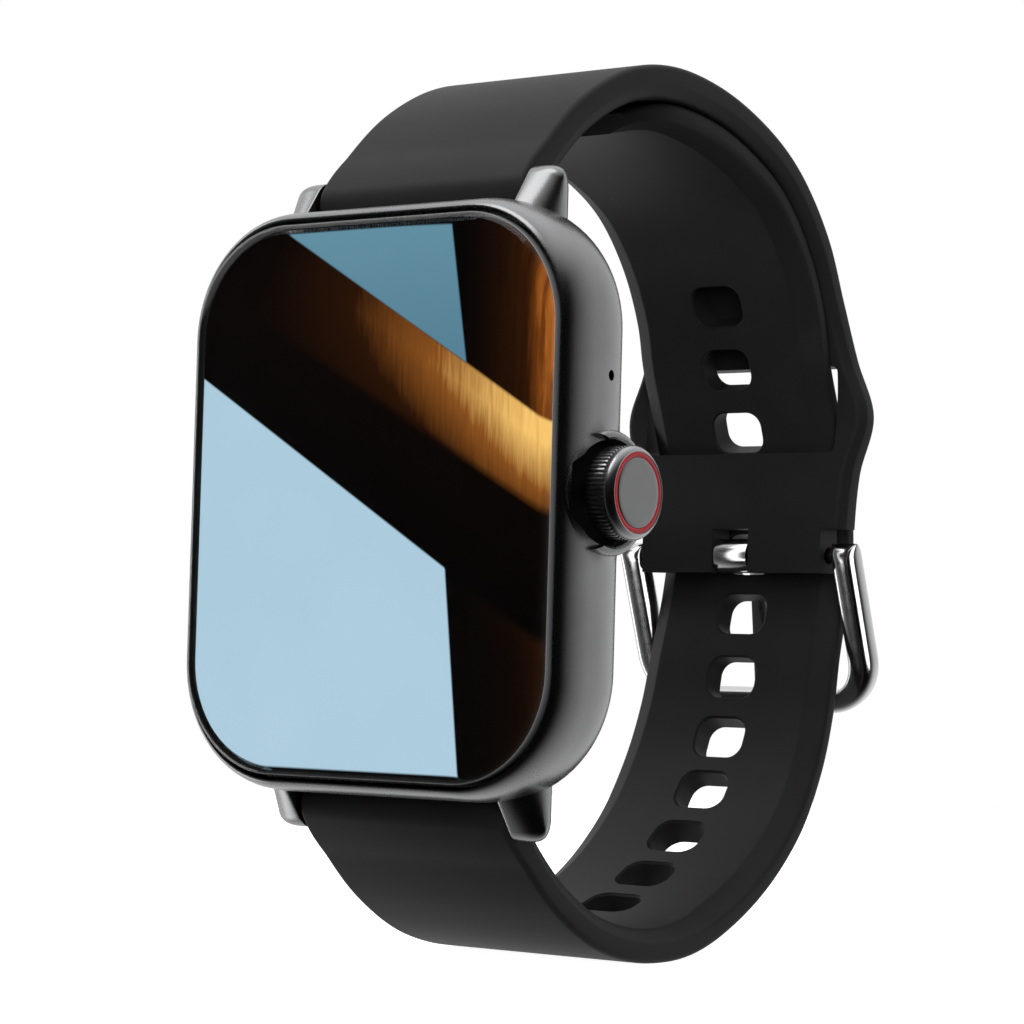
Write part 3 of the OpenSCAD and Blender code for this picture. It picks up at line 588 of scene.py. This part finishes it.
def case_piece():
    """Hollow case with the collar that guards the crown."""
    profile = [(0.90, 0.815), (0.89, 0.80)]
    for u in (1.0, 0.985, 0.965, 0.94, 0.90, 0.85, 0.78, 0.70, 0.60, 0.50, 0.38, 0.25, 0.12, 0.0):
        profile.append((0.93 * (1 - math.sqrt(1 - 0.99 * u * u)), FLANK_Y - (FLANK_Y - CASE_FRONT) * u))
    for k in range(1, 31):
        u = math.sin(math.pi / 2 * k / 30)
        inset = BACK_ROLL * (1 - max(0.0, 1 - u ** 2.8) ** (1 / 2.8))
        profile.append((inset, FLANK_Y + (CASE_BACK - FLANK_Y) * u))
    rings = [[swell(p) for p in case_ring(i, i, y, CASE_R - i * 0.6)]
             for i, y in profile]
    inside = [(4.4, 4.4, CASE_BACK, 6.5), (4.4, 4.4, 8.0, 6.5), (1.6, 2.9, 8.0, 7.4), (1.6, 2.9, 2.6, 7.4),
              (1.3, 1.85, 2.6, 8.1), (1.3, 1.85, 1.5, 8.1), (0.9, 1.15, 1.5, 8.75)]
    rings += [case_ring(ix, iz, y, r) for ix, iz, y, r in inside]
    body = outward(make("case_shell", *skin(rings, wrap=True)))
    # collar round the crown
    collar_r, collar_x, edge = 4.6, CASE_HW + 0.8, 0.5
    profile = [(collar_x - edge + edge * math.sin(a), collar_r - edge + edge * math.cos(a))
               for a in (math.pi / 2 * k / 8 for k in range(9))]
    profile = [(CASE_HW - 1.4, collar_r)] + profile
    collar = outward(make("collar", *turned_x(profile, CROWN_Y, CROWN_Z, 128)))
    trim = outward(make("trim", *skin([[(x, y, z) for x, z in ((10, -12), (24, -12), (24, 12), (10, 12))]
                                      for y in (CASE_BACK - 0.15, CASE_BACK + 3)])))
    # the collar is open towards the glass
    side = [(-1.0, 7.5), (1.05, 5.6), (3.0, 4.55), (5.2, 3.8),
            (5.2, -3.6), (3.0, -4.5), (1.05, -5.6), (-1.0, -7.5)]
    gap = outward(make("gap", *prism_x([(y, CROWN_Z + z) for y, z in side], CASE_HW - 0.15, CASE_HW + 3)))
    cut(collar, [trim, gap])
    cut(body, [collar], "UNION")
    return body


def pocket_cutters():
    """Round pocket for the crown and the notch that opens it towards the glass."""
    floor_x = CASE_HW - 0.9
    top = CASE_HW + 0.8
    r = CROWN_R + 0.45
    mouth = [(floor_x, r), (top - 0.18, r), (top + 0.02, r + 0.2), (top + 2, r + 2.2)]
    hole = outward(make("hole", *turned_x(mouth, CROWN_Y, CROWN_Z, 128)))
    outline = [(1.65, -1.95), (5.2, -3.5), (5.2, 3.5), (1.65, 1.95)]
    centre = (3.6, 0)

    def ring(x, grow):
        pts = [(y + (y - centre[0]) / 2 * grow, z + z / 3 * grow) for y, z in outline]
        return [(x, y, CROWN_Z + z) for y, z in fillet(pts, [0.25] * 4, 4)]

    levels = [(floor_x, 0), (CASE_HW - 0.20, 0), (CASE_HW - 0.02, 0.16), (CASE_HW + 3, 0.3)]
    notch = outward(make("notch", *skin([ring(x, grow) for x, grow in levels])))
    return [hole, notch]


def lug(sx, side):
    """Post with a flat inner face and a rounded outer side; its front slants back to a round tip."""
    arc = [(BAR_Y + TIP_ROUND * math.sin(a), BAR_Z + TIP_ROUND * math.cos(a))
           for a in (math.radians(-55 + 145 * k / 16) for k in range(17))]
    outline = [(9.2, 20.2), (3.1, 20.2), (4.4, 22.05)] + arc
    middle = 6.9
    shoulder = 22.3
    layers = [(0.0, 0.955), (0.012, 0.985), (0.04, 0.997)]
    layers += [(math.sin(a), math.cos(a)) for a in (math.pi / 2 * k / 14 for k in range(1, 14))]
    rings = []
    for t, k in layers:
        drop = 0.42 * (1 - math.sqrt(1 - t ** 4))
        rings.append([(sx * (LUG_IN + LUG_T * t), middle + (y - middle) * k,
                       side * (z - drop * max(0.0, z - shoulder))) for y, z in outline])
    return skin(rings)


body = case_piece()
cut(body, pocket_cutters())
scoops = [skin([[(x, BAR_Y + a, side * BAR_Z + b) for a, b in circle(BARREL_R + 0.25, 72)]
                for x in (-LUG_IN, LUG_IN)]) for side in (-1, 1)]
holes = [skin([[(x, MIC_Y + a, MIC_Z + b) for a, b in circle(r, 28)] for x, r in
               ((CASE_HW - 2.6, 0.40), (CASE_HW - 0.06, 0.40), (CASE_HW + 0.1, 0.52))])]
for z in range(-6, 7, 3):
    holes.append(skin([[(-x, SPEAKER_Y + a, z + b) for a, b in circle(r, 32)] for x, r in
                       ((CASE_HW - 2.6, 0.5), (CASE_HW - 0.08, 0.5), (CASE_HW + 0.06, 0.64))]))
cut(body, [joined("scoops", scoops), joined("openings", holes)])
smooth(body, 32)
dress(body, "case_metal", replaces=("case_frame",))

lugs = joined("case_lugs", [lug(sx, side) for sx in (-1, 1) for side in (-1, 1)])
smooth(lugs, 40)
dress(lugs, "case_metal", replaces=("case_frame",))


# ------------------------------------------------------- glass and display

def glass_piece():
    """Cover glass with a rounded front edge."""
    deep = (GLASS_HI.y - FRONT) / MM - 0.02
    edge = [(6.0, 0.0), (1.1, 0.0)]
    edge += [(1.0 - math.sin(a), 0.66 * (1 - math.cos(a)))
             for a in (math.pi / 2 * k / 14 for k in range(1, 15))]
    edge += [(0.0, deep - 0.12), (0.12, deep), (0.5, deep), (6.0, deep)]
    rings = [[(x, y, z) for x, z in rounded(GLASS_HW - i, GLASS_HH - i, GLASS_R - i, 24, 24, 24)]
             for i, y in edge]
    return smooth(outward(make("glass_lens", *skin(rings))), 60)


def panel_piece():
    """Display panel under the glass."""
    lo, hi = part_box("display_panel")
    y0, y1 = (lo.y - FRONT) / MM + 0.04, (hi.y - FRONT) / MM
    rings = [[(x, y, z) for x, z in rounded(hi.x / MM - i, hi.z / MM - i, 8 - i, 16, 16, 16)]
             for i, y in ((0.5, y0), (0.05, y0), (0.0, y0 + 0.05), (0.0, y1 - 0.05), (0.05, y1), (0.5, y1))]
    return smooth(outward(make("screen_panel", *skin(rings))), 30)


def border_piece():
    """Black print behind the rim of the glass."""
    rings = []
    y0 = (GLASS_HI.y - FRONT) / MM
    for i, y in ((0.05, y0), (0.05, y0 + 0.03), (0.56, y0 + 0.03), (0.56, y0)):
        rings.append([(x, y, z) for x, z in rounded(GLASS_HW - i, GLASS_HH - i, GLASS_R - i, 16, 16, 16)])
    return smooth(outward(make("glass_print", *skin(rings, wrap=True))), 30)


dress(glass_piece(), "cover_glass", replaces=("cover_glass",))
dress(panel_piece(), "screen", replaces=("display_panel",))
dress(border_piece(), "seal_rubber")


# ------------------------------------------------------------------ crown

def knob_piece():
    """Knurled knob of the crown with its smooth rim."""
    per_tooth = 12
    n = TEETH * per_tooth
    root = CROWN_R - 0.30

    def tooth(i):
        t = (i % per_tooth) / per_tooth
        a = max(0.0, min(1.0, (abs(t - 0.5) - 0.20) / 0.14))
        return 1 - a * a * (3 - 2 * a)

    # back from the outer face, radius, share of the knurl
    steps = [(2.5, root - 0.25, 0.0), (2.45, root - 0.05, 0.2), (2.36, root, 0.75), (2.26, root, 1.0),
             (1.02, root, 1.0), (0.94, root, 0.85), (0.88, root, 0.3), (0.85, root - 0.02, 0.0),
             (0.78, root - 0.02, 0.0), (0.74, CROWN_R - 0.12, 0.0), (0.68, CROWN_R - 0.03, 0.0),
             (0.58, CROWN_R, 0.0), (0.42, CROWN_R - 0.02, 0.0), (0.26, CROWN_R - 0.10, 0.0),
             (0.12, CROWN_R - 0.22, 0.0), (0.04, CROWN_R - 0.36, 0.0), (0.01, RING_R + 0.08, 0.0),
             (0.03, RING_R + 0.01, 0.0), (0.25, RING_R + 0.01, 0.0), (0.25, 0.9, 0.0), (0.6, 0.9, 0.0),
             (0.6, 0.4, 0.0)]
    profile = [(CROWN_X - back, r, k) for back, r, k in steps]
    rings = []
    for x, r, k in profile:
        ring = []
        for i in range(n):
            a = 2 * math.pi * i / n
            rr = r + (CROWN_R - 0.02 - root) * tooth(i) * k
            ring.append((x, CROWN_Y + rr * math.cos(a), CROWN_Z + rr * math.sin(a)))
        rings.append(ring)
    return smooth(outward(make("knurled_knob", *skin(rings))), 38)


def crown_ring_piece():
    """Red ring let into the face of the crown."""
    r0, r1 = CAP_R + 0.02, RING_R
    top = RING_HI.x / MM
    base = RING_LO.x / MM
    outline = [(base, r1), (top - 0.05, r1), (top - 0.01, r1 - 0.05), (top, (r0 + r1) / 2),
               (top - 0.01, r0 + 0.05), (top - 0.05, r0), (base, r0)]
    rings = [[(x, CROWN_Y + a, CROWN_Z + b) for a, b in circle(r, 128)] for x, r in outline]
    return smooth(outward(make("enamel_ring", *skin(rings, wrap=True))), 50)


def cap_piece():
    """Disc in the middle of the crown's face."""
    base = CAP_LO.x / MM
    outline = [(base, CAP_R), (CROWN_X - 0.06, CAP_R), (CROWN_X - 0.015, CAP_R - 0.03),
               (CROWN_X, CAP_R - 0.09), (CROWN_X, CAP_R - 0.4), (CROWN_X, 0.6)]
    return smooth(outward(make("crown_disc", *turned_x(outline, CROWN_Y, CROWN_Z, 128))), 50)


dress(knob_piece(), "crown_metal", "crown", replaces=("crown_knob",))
dress(crown_ring_piece(), "red_enamel", "crown", replaces=("crown_ring",))
dress(cap_piece(), "cap_metal", "crown", replaces=("crown_cap",))


# ----------------------------------------------------------------- straps

# Stations of the straps along their middle line: depth, height, half width, thickness
UPPER = [(BAR_Y, BAR_Z, 10, 2.7), (9.5, 26.2, 10, 2.7), (14.1, 30.3, 10, 2.7), (20.1, 33.4, 10, 2.7),
         (26.4, 34.5, 10, 2.7), (33.4, 33.8, 10, 2.6), (40.1, 31.6, 10, 2.5), (44.9, 28.7, 10, 2.35),
         (48.9, 24.3, 10, 2.35), (51.5, 19.4, 10, 2.35), (52.8, 14.7, 10.7, 2.35),
         (53.0, 10, SLOT_HW, 2.35), (52.5, 5.2, 11.3, 2.6), (52.0, 0.5, END_HW, 2.8),
         (52.0, -3.6, END_HW, 2.8)]


def tucked(i, hw, t):
    """Station of the tail where it lies against the inside of the upper strap."""
    a, b = UPPER[i - 1], UPPER[i + 1]
    h = Vector((b[0] - a[0], b[1] - a[1])).normalized()
    off = (UPPER[i][3] + t) / 2 + 0.1
    return (UPPER[i][0] + h.y * off, UPPER[i][1] - h.x * off, hw, t)


LOWER = [(BAR_Y, -BAR_Z, 10, 2.7), (9.4, -26.0, 10, 2.7), (13.7, -29.8, 10, 2.7), (19.2, -32.7, 10, 2.7),
         (25.8, -33.95, 10, 2.7), (32.8, -33.3, 10, 2.7), (40.4, -30.0, 10, 2.6), (46.1, -25.5, 10, 2.5),
         (49.6, -20.6, 9.9, 2.35), (51.7, -15.7, 9.7, 2.35), (52.95, -10.6, 9.5, 2.35),
         (54.3, -5.6, TAIL_HW, 2.35), (54.95, -1, TAIL_HW, 2.35), (54.2, 4, TAIL_HW, 2.35),
         (52.5, 9, TAIL_HW, 2.35)]
LOWER += [tucked(i, TAIL_HW, 2.35) for i in range(10, 4, -1)]
LOWER += [tucked(4, 8.9, 2.1), (24, 31.3, 6.4, 1.6)]
HOLE_PITCH, HOLE_W, HOLE_L = 5.65, 4.8, 3.6
TANG_HOLE = 70.0                                 # length along the strap of the hole in use
TANG_INDEX = 7                                   # that hole's number, the first being 0
HOLES = 12


def curve(stations, n):
    """Smooth curve through the stations, with n steps between each pair."""
    out = []
    last = len(stations) - 1
    for i in range(last):
        a, b, c, d = (stations[max(i - 1, 0)], stations[i], stations[i + 1], stations[min(i + 2, last)])
        for k in range(n):
            t = k / n
            out.append(tuple(0.5 * (2 * q + (r - p) * t + (2 * p - 5 * q + 4 * r - s) * t * t
                                    + (3 * q - p - 3 * r + s) * t ** 3)
                             for p, q, r, s in zip(a, b, c, d)))
    out.append(stations[-1])
    return out


def heading(c, i):
    """Direction of a curve at its point i."""
    a, b = c[max(i - 1, 0)], c[min(i + 1, len(c) - 1)]
    return Vector((b[0] - a[0], b[1] - a[1])).normalized()


def strap_section(hw, t, wide, edge):
    """Points (x, n): n outwards; the wrist side carries a wide bevel."""
    pts = [(hw, -t * 0.12), (hw, t / 2), (-hw, t / 2), (-hw, -t * 0.12),
           (-hw + wide, -t / 2), (hw - wide, -t / 2)]
    radii = [edge * 1.2, edge, edge, edge * 1.2, edge * 1.3, edge * 1.3]
    return fillet(pts, radii, 5)


def strap_rings(stations, side, bevels, nose):
    """Rings of a strap; nose is the radius of its barrel round the spring bar."""
    c = curve(stations, 9)
    run = 0.0
    rings = []
    h = heading(c, 0)
    for k in range(8):
        a = math.pi / 2 * (k + 0.35) / 8.35
        back = nose * math.cos(a)
        t = 2 * nose * math.sin(a)
        y, z = c[0][0] - h.x * back, c[0][1] - h.y * back
        s = strap_section(c[0][2], t, bevels(0), min(0.5, t * 0.3))
        rings.append([(p[0], y - h.y * p[1] * side, z + h.x * p[1] * side) for p in s])
    for i, (y, z, hw, t) in enumerate(c):
        if i:
            run += math.hypot(y - c[i - 1][0], z - c[i - 1][1])
        h = heading(c, i)
        w = max(0.0, 1 - run / 4.2)
        w = w * w * (3 - 2 * w)
        t = t + (2 * nose - t) * w
        s = strap_section(hw, t, bevels(run), 0.5)
        rings.append([(p[0], y - h.y * p[1] * side, z + h.x * p[1] * side) for p in s])
    return rings


def lengths(c):
    """Length along a curve at each of its points."""
    out = [0.0]
    for a, b in zip(c, c[1:]):
        out.append(out[-1] + math.hypot(b[0] - a[0], b[1] - a[1]))
    return out


def bore(y, z):
    """Cutter for the bore of a spring bar."""
    return skin([[(x, y + a, z + b) for a, b in circle(BORE_R, 40)] for x in (-13, 13)])


def box_part(lo, hi, r=0.0):
    """Box along Y with rounded corners seen along the strap."""
    pts = [(lo[0], lo[2]), (hi[0], lo[2]), (hi[0], hi[2]), (lo[0], hi[2])]
    ring = fillet(pts, [r] * 4, 5) if r else pts
    return skin([[(x, y, z) for x, z in ring] for y in (lo[1], hi[1])])


def upper_strap_piece():
    """Strap on the buckle side, with its slot, channel and notches."""
    rings = strap_rings(UPPER, 1, lambda s: 0.4, BARREL_R)
    piece = outward(make("strap_upper", *skin(rings)))
    hw = TAIL_HW + 0.4
    slot = box_part((-hw, 48, 6.8), (hw, 58, 14.2), 0.5)
    channel = prism_x([(53.3, -6), (53.3, -0.5), (52.8, 3), (51.75, 6.9), (58, 6.9), (58, -6)], -hw, hw)
    notch = box_part((-TANG_W / 2 - 0.2, 45, -6), (TANG_W / 2 + 0.2, 60, 0.2))
    arm = BUCKLE_HW - ARM_W - 0.5
    sides = [box_part((x, 45, -6), (x + 4, 60, 0.2)) for x in (arm, -arm - 4)]
    cut(piece, [joined("slot", [slot])])
    cut(piece, [joined("channel", [channel])])
    cut(piece, [joined("notches", [notch] + sides)])
    cut(piece, [joined("bores", [bore(BAR_Y, BAR_Z), bore(BUCKLE_Y, BUCKLE_Z)])])
    return smooth(piece, 32)


def hole_parts():
    """Cutters for the row of holes, each with softened edges."""
    c = curve(LOWER, 24)
    run = lengths(c)
    parts = []
    for k in range(HOLES):
        s = TANG_HOLE + (k - TANG_INDEX) * HOLE_PITCH
        i = next(j for j, v in enumerate(run) if v >= s)
        y, z, _, t = c[i]
        h = heading(c, i)
        rings = []
        for n, grow in ((-3, 0.16), (-t / 2, 0.16), (-t / 2 + 0.16, 0.0),
                        (t / 2 - 0.16, 0.0), (t / 2, 0.16), (3, 0.16)):
            outline = rounded(HOLE_W / 2 + grow, HOLE_L / 2 + grow, 1.3 + grow, 2, 2, 7)
            rings.append([(a, y + h.x * b - h.y * n, z + h.y * b + h.x * n) for a, b in outline])
        parts.append(skin(rings))
    return parts


def lower_strap_piece():
    """Strap on the hole side, whose tail lies inside the other strap."""
    rings = strap_rings(LOWER, -1, lambda s: 0.7 + 1.1 * max(0.0, min(1.0, (s - 18) / 14)), BARREL_R)
    piece = outward(make("strap_lower", *skin(rings)))
    cut(piece, [joined("holes", hole_parts())])
    cut(piece, [joined("bores", [bore(BAR_Y, -BAR_Z)])])
    return smooth(piece, 32)


dress(upper_strap_piece(), "silicone", replaces=("upper_strap",))
dress(lower_strap_piece(), "silicone", replaces=("lower_strap",))


# ----------------------------------------------------------------- buckle

def leaned(x, w, n):
    """Point of the buckle: w along the frame from the bar, n out of its plane."""
    c, s = math.cos(BUCKLE_LEAN), math.sin(BUCKLE_LEAN)
    return (x, BUCKLE_Y + n * c - w * s, BUCKLE_Z + n * s + w * c)


def buckle_piece():
    """Buckle frame: two arms and a cross bar swept as one rounded tube."""
    corner_r = 5.0
    far_w = 1.9
    r_arm, r_far = corner_r - ARM_W / 2, corner_r - far_w / 2
    cx, cw = BUCKLE_HW - corner_r, -BUCKLE_L + corner_r
    path = []
    top = BUCKLE_T / 2
    for k in range(7):
        a = math.pi / 2 * (k + 0.12) / 7.12
        path.append((BUCKLE_HW - ARM_W / 2, top * math.cos(a), math.sin(a), ARM_W))
    for k in range(10):
        path.append((BUCKLE_HW - ARM_W / 2, cw * (k + 0.3) / 10, 1.0, ARM_W))
    for k in range(17):
        a = math.pi / 2 * k / 16
        path.append((cx + r_arm * math.cos(a), cw - r_far * math.sin(a), 1.0,
                     ARM_W + (far_w - ARM_W) * (1 - math.cos(a * 2)) / 2))
    half = path[:]
    for k in range(1, 8):
        half.append((cx * (1 - k / 8), -BUCKLE_L + far_w / 2, 1.0, far_w))
    whole = half + [(0.0, -BUCKLE_L + far_w / 2, 1.0, far_w)]
    whole += [(-x, w, k, t) for x, w, k, t in reversed(half)]
    rings = []
    for i, (x, w, k, wide) in enumerate(whole):
        a = Vector(whole[max(i - 1, 0)][:2])
        b = Vector(whole[min(i + 1, len(whole) - 1)][:2])
        d = (b - a).normalized()
        if abs(x) > BUCKLE_HW - ARM_W / 2 - 1e-6:
            d = Vector((0, -1)) if x > 0 else Vector((0, 1))
        across = Vector((-d.y, d.x))
        ring = []
        for j in range(40):
            t = 2 * math.pi * j / 40
            u = math.copysign(abs(math.cos(t)) ** 0.72, math.cos(t)) * wide / 2
            v = math.copysign(abs(math.sin(t)) ** 0.72, math.sin(t)) * BUCKLE_T / 2 * k
            ring.append(leaned(x + across.x * u, w + across.y * u, v))
        rings.append(ring)
    piece = outward(make("buckle_loop", *skin(rings)))
    return smooth(piece, 45)


def tang_piece():
    """Tang: a blade that bends over the strap and a loop round the bar."""
    loop_r = 1.5
    pts = [(1.4, -0.4), (4.2, -0.2), (4.8, -0.3), (5.4, -1.2), (6.7, -12.3), (6.75, -14.0), (6.15, -13.9),
           (5.95, -12.3), (4.6, -1.5), (4.1, -1.0), (1.2, -1.25)]
    blade = fillet(pts, [0.1, 0.3, 0.5, 0.8, 0.4, 0.22, 0.22, 0.4, 0.5, 0.4, 0.1], 5)
    outline = [(BUCKLE_Y + y, BUCKLE_Z + z) for y, z in blade]
    piece = outward(make("tang_blade", *prism_x(outline, -TANG_W / 2, TANG_W / 2)))
    ring = outward(make("loop", *skin([[(x, BUCKLE_Y + a, BUCKLE_Z + b) for a, b in circle(loop_r, 64)]
                                       for x in (-TANG_W / 2, TANG_W / 2)])))
    cut(piece, [ring], "UNION")
    cut(piece, [joined("bore", [skin([[(x, BUCKLE_Y + a, BUCKLE_Z + b) for a, b in circle(0.79, 48)]
                                      for x in (-3, 3)])])])
    bevel(piece, 0.16, 3, 50)
    return smooth(piece, 35)


loop = dress(buckle_piece(), "buckle_steel", "buckle", replaces=("buckle_frame",))
tang = dress(tang_piece(), "buckle_steel", "tang", replaces=("buckle_tang",))


# ------------------------------------------------------------- back cover

def cover_piece():
    """Back cover with the sensor's seat and the wells of screws and contacts."""
    hw, hh = COVER_HI.x / MM, COVER_HI.z / MM
    y0, y1 = (COVER_LO.y - FRONT) / MM, (COVER_HI.y - FRONT) / MM
    edge = [(0.6, y0), (0.1, y0), (0.02, y0 + 0.1)]
    edge += [(1 - math.cos(a), y0 + 0.25 + (y1 - y0 - 0.25) * math.sin(a))
             for a in (math.pi / 2 * k / 8 for k in range(9))]
    edge += [(1.8, y1)]
    rings = [[(x, y, z) for x, z in rounded(hw - i, hh - i, 6.6 - i, 12, 12, 16)] for i, y in edge]
    piece = outward(make("rear_shell", *skin(rings)))
    steps = ((10.1, 11.05), (y1 - 0.1, 11.05), (y1 + 0.05, 11.2), (12, 11.2))
    cut(piece, [joined("seat", [skin([[(a, y, b) for a, b in circle(r, 128)] for y, r in steps])])])
    cut(piece, [joined("window", [skin([[(a, y, b) for a, b in circle(9.6, 96)] for y in (9, 11)])])])
    well = ((9.0, 0.75), (10.0, 0.75), (10.001, 1.2), (y1 - 0.08, 1.2), (y1 + 0.1, 1.38))
    contact = ((9.0, 0.9), (y1 - 0.05, 0.9), (y1 + 0.1, 1.05))
    places = [(x, z, well) for x in (-SCREW_X, SCREW_X) for z in (-SCREW_Z, SCREW_Z)]
    places += [(x, PIN_Z, contact) for x in (-PIN_X, PIN_X)]
    holes = [skin([[(x + a, y, z + b) for a, b in circle(r, 40)] for y, r in steps])
             for x, z, steps in places]
    cut(piece, [joined("wells", holes)])
    return smooth(piece, 32)


dress(cover_piece(), "back_plastic", replaces=("back_cover",))


# ------------------------------------------------------------------ stage

def stage():
    """Pale round floor that the camera sees and reflections don't."""
    floor_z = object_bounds()[0][2]
    radius = 0.30
    sides = 96
    mesh = bpy.data.meshes.new("floor")
    mesh.from_pydata([(a, 0.03 + b, floor_z) for a, b in circle(radius, sides)], [], [tuple(range(sides))])
    floor = bpy.data.objects.new("floor", mesh)
    scene.collection.objects.link(floor)
    n = Nodes("floor_paint")
    n.set(Base_Color=n.ramp(n.noise(0.004), [(0.4, (0.93, 0.93, 0.93)), (0.6, (0.95, 0.95, 0.95))]),
          Roughness=0.9, Specular_IOR_Level=0.0, Emission_Color=(1, 1, 1), Emission_Strength=0.95)
    floor.data.materials.append(n.material)
    floor.visible_glossy = floor.visible_diffuse = False
    floor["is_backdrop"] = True


def studio():
    """White to the camera; as light, bright behind and above and dark in front."""
    world = bpy.data.worlds.new("studio")
    world.use_nodes = True
    scene.world = world
    tree = world.node_tree
    tree.nodes.clear()
    out = tree.nodes.new("ShaderNodeOutputWorld")
    seen = tree.nodes.new("ShaderNodeBackground")
    seen.inputs[0].default_value = (1, 1, 1, 1)
    lit = tree.nodes.new("ShaderNodeBackground")
    mixer = tree.nodes.new("ShaderNodeMixShader")
    path = tree.nodes.new("ShaderNodeLightPath")
    coords = tree.nodes.new("ShaderNodeTexCoord")
    parts = tree.nodes.new("ShaderNodeSeparateXYZ")
    tree.links.new(coords.outputs["Generated"], parts.inputs[0])

    def band(socket, low, high, a, b):
        m = tree.nodes.new("ShaderNodeMapRange")
        m.interpolation_type = "SMOOTHSTEP"
        for key, value in (("From Min", low), ("From Max", high), ("To Min", a), ("To Max", b)):
            m.inputs[key].default_value = value
        tree.links.new(socket, m.inputs["Value"])
        return m.outputs["Result"]

    def add(a, b):
        m = tree.nodes.new("ShaderNodeMath")
        tree.links.new(a, m.inputs[0])
        tree.links.new(b, m.inputs[1])
        return m.outputs[0]

    toward = tree.nodes.new("ShaderNodeVectorMath")
    toward.operation = "DOT_PRODUCT"
    toward.inputs[1].default_value = (-0.5, 0.866, 0.0)
    tree.links.new(coords.outputs["Generated"], toward.inputs[0])
    back = band(toward.outputs["Value"], -0.45, 1.1, 0.004, 1.05)
    top = band(parts.outputs["Z"], 0.55, 0.98, 0.0, 0.7)
    tree.links.new(add(back, top), lit.inputs["Strength"])
    tree.links.new(path.outputs["Is Camera Ray"], mixer.inputs[0])
    tree.links.new(lit.outputs[0], mixer.inputs[1])
    tree.links.new(seen.outputs[0], mixer.inputs[2])
    tree.links.new(mixer.outputs[0], out.inputs["Surface"])


def softbox(name, place, target, size, power, matte_only=False, only=()):
    """Area lamp; matte_only keeps it out of reflections, only lists the pieces that it lights."""
    light = bpy.data.lights.new(name, "AREA")
    light.shape = "RECTANGLE"
    light.size, light.size_y = size
    light.energy = power
    lamp = bpy.data.objects.new(name, light)
    scene.collection.objects.link(lamp)
    lamp.location = place
    lamp.rotation_euler = (Vector(target) - Vector(place)).to_track_quat("-Z", "Y").to_euler()
    lamp.visible_camera = False
    if matte_only:
        lamp.visible_glossy = lamp.visible_transmission = False
    if only:
        lit = bpy.data.collections.new(name + "_lit")
        for piece in only:
            lit.objects.link(piece)
        lamp.light_linking.receiver_collection = lit


def camera():
    """Camera at the angle of the reference view, with its slight roll."""
    eye = Vector((0.151936, -0.194818, -0.011898))
    target = Vector((0.008725, -0.004317, -0.000736))
    roll = math.radians(1.615)
    ahead = (target - eye).normalized()
    right = ahead.cross(Vector((0, 0, 1))).normalized()
    up = right.cross(ahead)
    x = right * math.cos(roll) + up * math.sin(roll)
    y = -right * math.sin(roll) + up * math.cos(roll)
    data = bpy.data.cameras.new("camera")
    data.sensor_width = 36
    data.lens = 112.33
    data.clip_start = 0.01
    data.clip_end = 20
    cam = bpy.data.objects.new("camera", data)
    scene.collection.objects.link(cam)
    m = Matrix((x, y, -ahead)).transposed().to_4x4()
    m.translation = eye
    cam.matrix_world = m
    scene.camera = cam


stage()
studio()
softbox("key", (-0.10, -0.20, 0.45), (0, 0.01, 0), (0.35, 0.35), 0.6)
softbox("strip", (-0.60, -0.04, 0.0), (0, 0.01, 0), (0.16, 1.2), 1.0)
softbox("fill", (0.30, -0.45, 0.10), (0, 0.03, 0), (0.5, 0.5), 2.6, matte_only=True)
softbox("steel_front", (0.42, -0.20, 0.02), (0.01, 0.04, -0.01), (0.45, 0.8), 2.4, only=(loop, tang))
softbox("steel_left", (-0.15, -0.45, 0.05), (0.01, 0.04, -0.01), (0.35, 0.8), 1.4, only=(loop, tang))
camera()
scene.view_settings.view_transform = "Standard"
